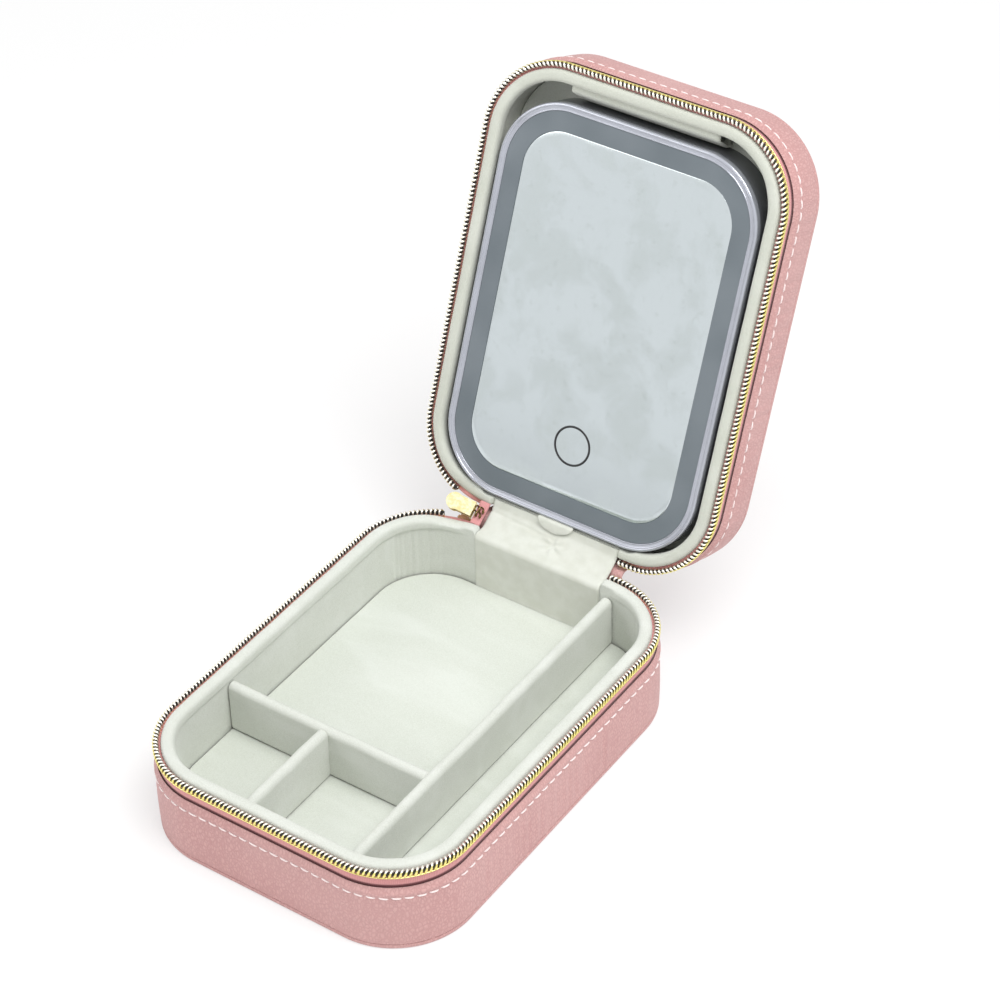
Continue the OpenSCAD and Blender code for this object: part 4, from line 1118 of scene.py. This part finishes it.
def flapRipples(u, v, length):
    # Fine cross waves on the bend, and a pucker: a dimple with five rays round it
    bend = bell(v, length - 9, 4.5)
    px, pv = flapPiece["pucker"][0], length - flapPiece["pucker"][1]
    r, a = np.hypot(u - px, (v - pv) * 1.3), np.arctan2((v - pv) * 1.3, u - px)
    rays = 1.5 * (0.32 * np.cos(5 * a + 0.7) * bell(r, 3, 2.6) - flapPiece["puckerDepth"] * bell(r, 0, 1.6))
    fold = length - 5.0 - 0.05 * (u + 26)                           # a crease from the left edge to the pucker
    crease = -0.4 * bell(v, fold, 0.45) * smooth(-u, -4, 2)
    waves = 0.1 * ripple(u, [1.3, 2.2, 3.6], 53, 51) + 0.07 * ripple(u + v, [4.1, 6.3], 53, 52)
    wall = 0.12 * ripple(u, [1, 2, 3], 53, 53) * bell(v, 8, 7)
    return bend * (rays + waves) + crease + wall * smooth(v, 0, 3)


grid, runs, flapLength = bentSheet(flapLine, flapPiece["halfWidth"], flapPiece["thickness"], flapRipples, 0.55)
hingeFlap = dress(tube("hingeFlapCloth", grid, runs), cloth, None, "velvet", "hinge_flap")
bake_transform(hingeFlap)

stripPiece = {
    "halfWidth": 31.0,
    "thickness": 1.2,
    "lap": 10.0,            # how far it overlaps the leather of either half
}
stripY = case["halfLength"] + stripPiece["thickness"] / 2
lidStripY, lidEdgeZ = stripY + 0.1, partingZ + case["zipShow"]
stripFrom, stripTo = np.array([stripY, case["baseLeather"]]), openPoint(lidStripY, lidEdgeZ)
upwards = np.array([0, case["zipShow"]])
onward = case["zipShow"] * (openPoint(lidStripY, lidEdgeZ + 1) - stripTo)
stripLine = np.concatenate([[(stripY, case["baseLeather"] - stripPiece["lap"])],
                            curve(stripFrom, upwards, onward, stripTo),
                            [openPoint(lidStripY, lidEdgeZ + stripPiece["lap"])]])


def stripRipples(u, v, length):
    # Soft cross creases where the leather bends
    return bell(v, length / 2, 5) * 0.12 * ripple(u + 0.5 * v, [2.3, 4.1, 6.7, 9.2], 59, 61)


grid, runs, stripLength = bentSheet(stripLine, stripPiece["halfWidth"], stripPiece["thickness"], stripRipples, 0.6)
hingeStrip = dress(tube("hingeStripLeather", grid, runs), leather, None, "leather", "hinge_strip")
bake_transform(hingeStrip)
print("hinge made")


# Mirror unit

mirrorPiece = {
    "sideGap": 3.0,         # room round the unit: at its sides, at the stop bar and at the hinge
    "barRoom": 7.6,
    "hingeGap": 0.9,
    "corner": 25.5,
    "front": 25.3,          # heights in the lid, from its outer face
    "bezelBack": 22.6,
    "face": 24.7,
    "back": 9.8,
    "backThickness": 1.3,
    "bezelWidth": 2.9,
    "glass": (42.6, 63.55, 15.5),       # half width, half length and corner radius
    "glassShift": 0.1,
    "glassThickness": 1.8,
    "bevel": 0.3,
    "ring": (6.7, 7.5),     # inner and outer radius of the touch ring
    "ringFromEnd": 18.8,
    "bar": 60.0,
    "tab": 15.0,
    "tabOut": 4.0,
}
mirrorY = (mirrorPiece["barRoom"] - mirrorPiece["hingeGap"]) / 2
mirrorOutline = (case["halfWidth"] - case["lidWallInset"] - mirrorPiece["sideGap"],
                 case["halfLength"] - case["lidWallInset"] - (mirrorPiece["barRoom"] + mirrorPiece["hingeGap"]) / 2,
                 mirrorPiece["corner"], mirrorY)


def roundMirror(s, inset, height, halfWidth, halfLength, corner, middleY):
    # As roundCase, for an outline of the mirror unit in the closed lid's plane
    x, y, angle = walk(s, halfWidth, halfLength, corner)
    return np.stack(np.broadcast_arrays(x - inset * np.cos(angle), y - inset * np.sin(angle) + middleY, height), -1)


def outlineSteps(halfWidth, halfLength, corner, step):
    # Lengths round an outline: four straights and a full circle of the corner radius
    return np.arange(0, 4 * (halfWidth + halfLength - 2 * corner) + 2 * math.pi * corner, step)


# The bezel from its outer side inwards: a full round bead, a sloping band and a thin raised lip
front, back = mirrorPiece["front"], mirrorPiece["bezelBack"]
bezelLine = roundedLine([(0, back), (0, front), (1.25, front), (1.4, front - 0.42), (2.45, front - 0.62),
                         (2.5, front - 0.35), (2.85, front - 0.35), (mirrorPiece["bezelWidth"], back)],
                        [0.05, 0.95, 0.55, 0.12, 0.1, 0.14, 0.14, 0.05], 8)
bezelLine = divided(bezelLine, 0.13)
s = outlineSteps(*mirrorOutline[:3], 1.0)[:, None]
grid = roundMirror(s, bezelLine[None, :, 0], bezelLine[None, :, 1], *mirrorOutline)
dress(surface("mirrorBezelRing", lidToOpen(grid), True, True), bezelSilver, "mirror", "bezel", "mirror_bezel")


def lidPlate(name, profile, halfWidth, halfLength, corner, middleY):
    # A plate between two flat faces: its edge is the profile of inset and height, and each face
    # is filled by rings shrunk towards the middle
    steps = outlineSteps(halfWidth, halfLength, corner, 1.2)
    rim = np.stack([roundMirror(steps, i, z, halfWidth, halfLength, corner, 0.0) for i, z in profile])
    shrink = np.linspace(0.1, 0.97, 10)
    shape = np.concatenate([shrunkRings(rim[0], shrink), rim, shrunkRings(rim[-1], shrink)[::-1]])
    shape[..., 1] += middleY
    centres = np.array([[0, middleY, profile[0][1]], [0, middleY, profile[-1][1]]])
    return cappedShape(name, lidToOpen(shape), *lidToOpen(centres))


face, bevel, glassBack = mirrorPiece["face"], mirrorPiece["bevel"], mirrorPiece["face"] - mirrorPiece["glassThickness"]
glassY = mirrorY - mirrorPiece["glassShift"]
profile = [(2.0, face), (bevel + 0.06, face), (bevel, face - 0.01), (0.05, face - 0.1), (0, face - 0.16),
           (0, glassBack), (2.0, glassBack)]
glass = lidPlate("mirrorGlassPlate", profile, *mirrorPiece["glass"], glassY)
dress(glass, silvered, "mirror", "mirror", "mirror_glass")

turns = np.linspace(0, 2 * math.pi, 96, endpoint=False)[:, None]
inner, outer = mirrorPiece["ring"]
ringRadius = np.array([[inner, outer, outer, inner]])
ringHeight = np.array([[face + 0.07, face + 0.07, face - 0.1, face - 0.1]])
ringY = glassY + mirrorPiece["glass"][1] - mirrorPiece["ringFromEnd"]
ring = np.broadcast_arrays(ringRadius * np.cos(turns), ringY + ringRadius * np.sin(turns), ringHeight)
ring = surface("touchRingPrint", lidToOpen(np.stack(ring, -1)), True, True)
dress(ring, ink, "mirror", "ink", "touch_ring")

backInset, backLow = case["lidWallInset"] + 0.2, mirrorPiece["back"]
backHigh = backLow + mirrorPiece["backThickness"]
profile = [(3.0, backHigh), (0.5, backHigh), (0.15, backHigh - 0.15), (0, backHigh - 0.5), (0, backLow), (3.0, backLow)]
panel = lidPlate("lidBackPanel", profile, case["halfWidth"] - backInset, case["halfLength"] - backInset,
                 case["corner"] - backInset, 0.0)
dress(panel, velvet, "lid", "velvet", "lid_back_panel")

barY = case["halfLength"] - case["lidWallInset"]
barWall, barTop = 0.05 - barY, case["lidLeather"] + case["zipShow"] - 2.3
barFoot = -barY + mirrorPiece["barRoom"] - 0.3
bar = softBar(-mirrorPiece["bar"] / 2, mirrorPiece["bar"] / 2,
              [(barWall, backHigh), (barFoot, backHigh), (barFoot, backHigh + 4), (3.6 - barY, barTop),
               (barWall, barTop)], 1.4, 0.8)
dress(tube("mirrorStopBar", lidToOpen(bar)), velvetLidShaded, "lid", "velvet", "mirror_stop_bar")


def tabWidth(v, length):
    # The share of the tab's width: half of it up the wall, then half an ellipse over the flap
    out = np.clip((v - (length - mirrorPiece["tabOut"])) / mirrorPiece["tabOut"], 0, 1)
    return np.where(out > 0, np.sqrt(np.clip(1 - out ** 2, 0.02, 1)), 0.5 + 0.5 * smooth(v, length - 6.5, length - 4.2))


def noRipples(u, v, length):
    # Flat: 0 at every point
    return 0 * u * v


tabY, tabZ = barY - 0.45, case["lidLeather"] + case["zipShow"] - 1.05
tabLine = [(tabY, backHigh + 0.2), (tabY, tabZ - 1.2), (tabY + 0.12, tabZ - 0.5), (tabY + 0.5, tabZ - 0.1),
           (tabY + 1.0, tabZ), (tabY + 4.1, tabZ)]
tabLine = lidToOpen(np.array([(0.0, y, z) for y, z in tabLine]))[:, 1:]
grid, runs, tabLength = bentSheet(tabLine, mirrorPiece["tab"] / 2, 0.8, noRipples, 0.35, tabWidth)
pullTab = dress(tube("mirrorPullTab", grid, runs), satin, "lid", "velvet", "mirror_pull_tab")
print("mirror made")


# Camera, light and floor

view = {
    "azimuth": 35.31, "elevation": 39.04, "roll": -1.453,
    "place": (0.48128, -0.62408, 0.75162), "lens": 111.675,
}


def addCamera():
    # Columns of the turn: right and up turned by the roll about the line of sight, and backwards
    azimuth, elevation, roll = (math.radians(view[k]) for k in ("azimuth", "elevation", "roll"))
    level = math.cos(elevation)
    back = Vector((math.sin(azimuth) * level, -math.cos(azimuth) * level, math.sin(elevation)))
    right = Vector((math.cos(azimuth), math.sin(azimuth), 0))
    up = back.cross(right)
    turnedRight = right * math.cos(roll) + up * math.sin(roll)
    turnedUp = up * math.cos(roll) - right * math.sin(roll)
    lens = bpy.data.cameras.new("photoCamera")
    lens.lens, lens.sensor_width = view["lens"], 36
    lens.clip_start, lens.clip_end = 0.05, 20
    camera = bpy.data.objects.new("photoCamera", lens)
    camera.matrix_world = Matrix((
        (turnedRight.x, turnedUp.x, back.x, view["place"][0]),
        (turnedRight.y, turnedUp.y, back.y, view["place"][1]),
        (turnedRight.z, turnedUp.z, back.z, view["place"][2]),
        (0, 0, 0, 1)))
    bpy.context.scene.collection.objects.link(camera)
    bpy.context.scene.camera = camera


def addLamp(name, place, size, power):
    # A round soft lamp that looks at the middle of the case
    lamp = bpy.data.lights.new(name, "AREA")
    lamp.shape, lamp.size, lamp.energy = "DISK", size, power
    holder = bpy.data.objects.new(name, lamp)
    holder.location = place
    holder.rotation_euler = (Vector(studio["target"]) - Vector(place)).to_track_quat("-Z", "Y").to_euler()
    bpy.context.scene.collection.objects.link(holder)


studio = {
    "world": 0.62,          # strength of the light from all round
    "key": 16.0,            # watts
    "fill": 4.0,
    "floorGlow": 0.55,      # share of the floor's own white, which the camera alone sees
    "target": (0, 0.05, 0.06),
}


def addStudio():
    # A white world, full strength where it is seen, two lamps, and a pale floor that keeps its shadow
    world = bpy.data.worlds.new("studioWorld")
    bpy.context.scene.world = world
    world.use_nodes = True
    sky = NodeTree(world.node_tree)
    seen, mirrored = (sky.put("ShaderNodeLightPath", out=ray) for ray in ("Is Camera Ray", "Is Glossy Ray"))
    strength = sky.put("ShaderNodeMapRange", {}, {0: seen.maths("MAXIMUM", seen, mirrored), 3: studio["world"], 4: 1.0})
    background = sky.tree.nodes["Background"]
    sky.connect(background.inputs["Color"], (1, 1, 1, 1))
    sky.connect(background.inputs["Strength"], strength)
    addLamp("keyLamp", (0.55, -0.1, 1.35), 0.9, studio["key"])
    addLamp("fillLamp", (-0.9, -0.9, 0.8), 0.8, studio["fill"])
    corners = np.array([[-3, -3, 0], [3, -3, 0], [3, 3, 0], [-3, 3, 0]]) * 1000.0
    floor = buildMesh("studioFloor", corners, np.array([[0, 1, 2, 3]]), flip=False, flat=True)
    white = Finish("floorWhite", (0.9, 0.9, 0.9, 1), 0.9, Specular_IOR_Level=0.1)
    grain = white.noise(white.millimetres(), 40, 2)
    white.set("Roughness", 0.85 + grain * 0.1)
    seen = white.put("ShaderNodeLightPath", out="Is Camera Ray")
    glow = white.put("ShaderNodeEmission", {}, {"Color": (1, 1, 1, 1), "Strength": 1.0})
    both = white.put("ShaderNodeMixShader", {},
                     {0: seen * studio["floorGlow"], 1: Wire(white, white.shader.outputs[0]), 2: glow})
    white.connect(white.tree.nodes["Material Output"].inputs["Surface"], both)
    floor.data.materials.append(white.material)


addCamera()
addStudio()
bpy.context.scene.view_settings.view_transform = "Standard"
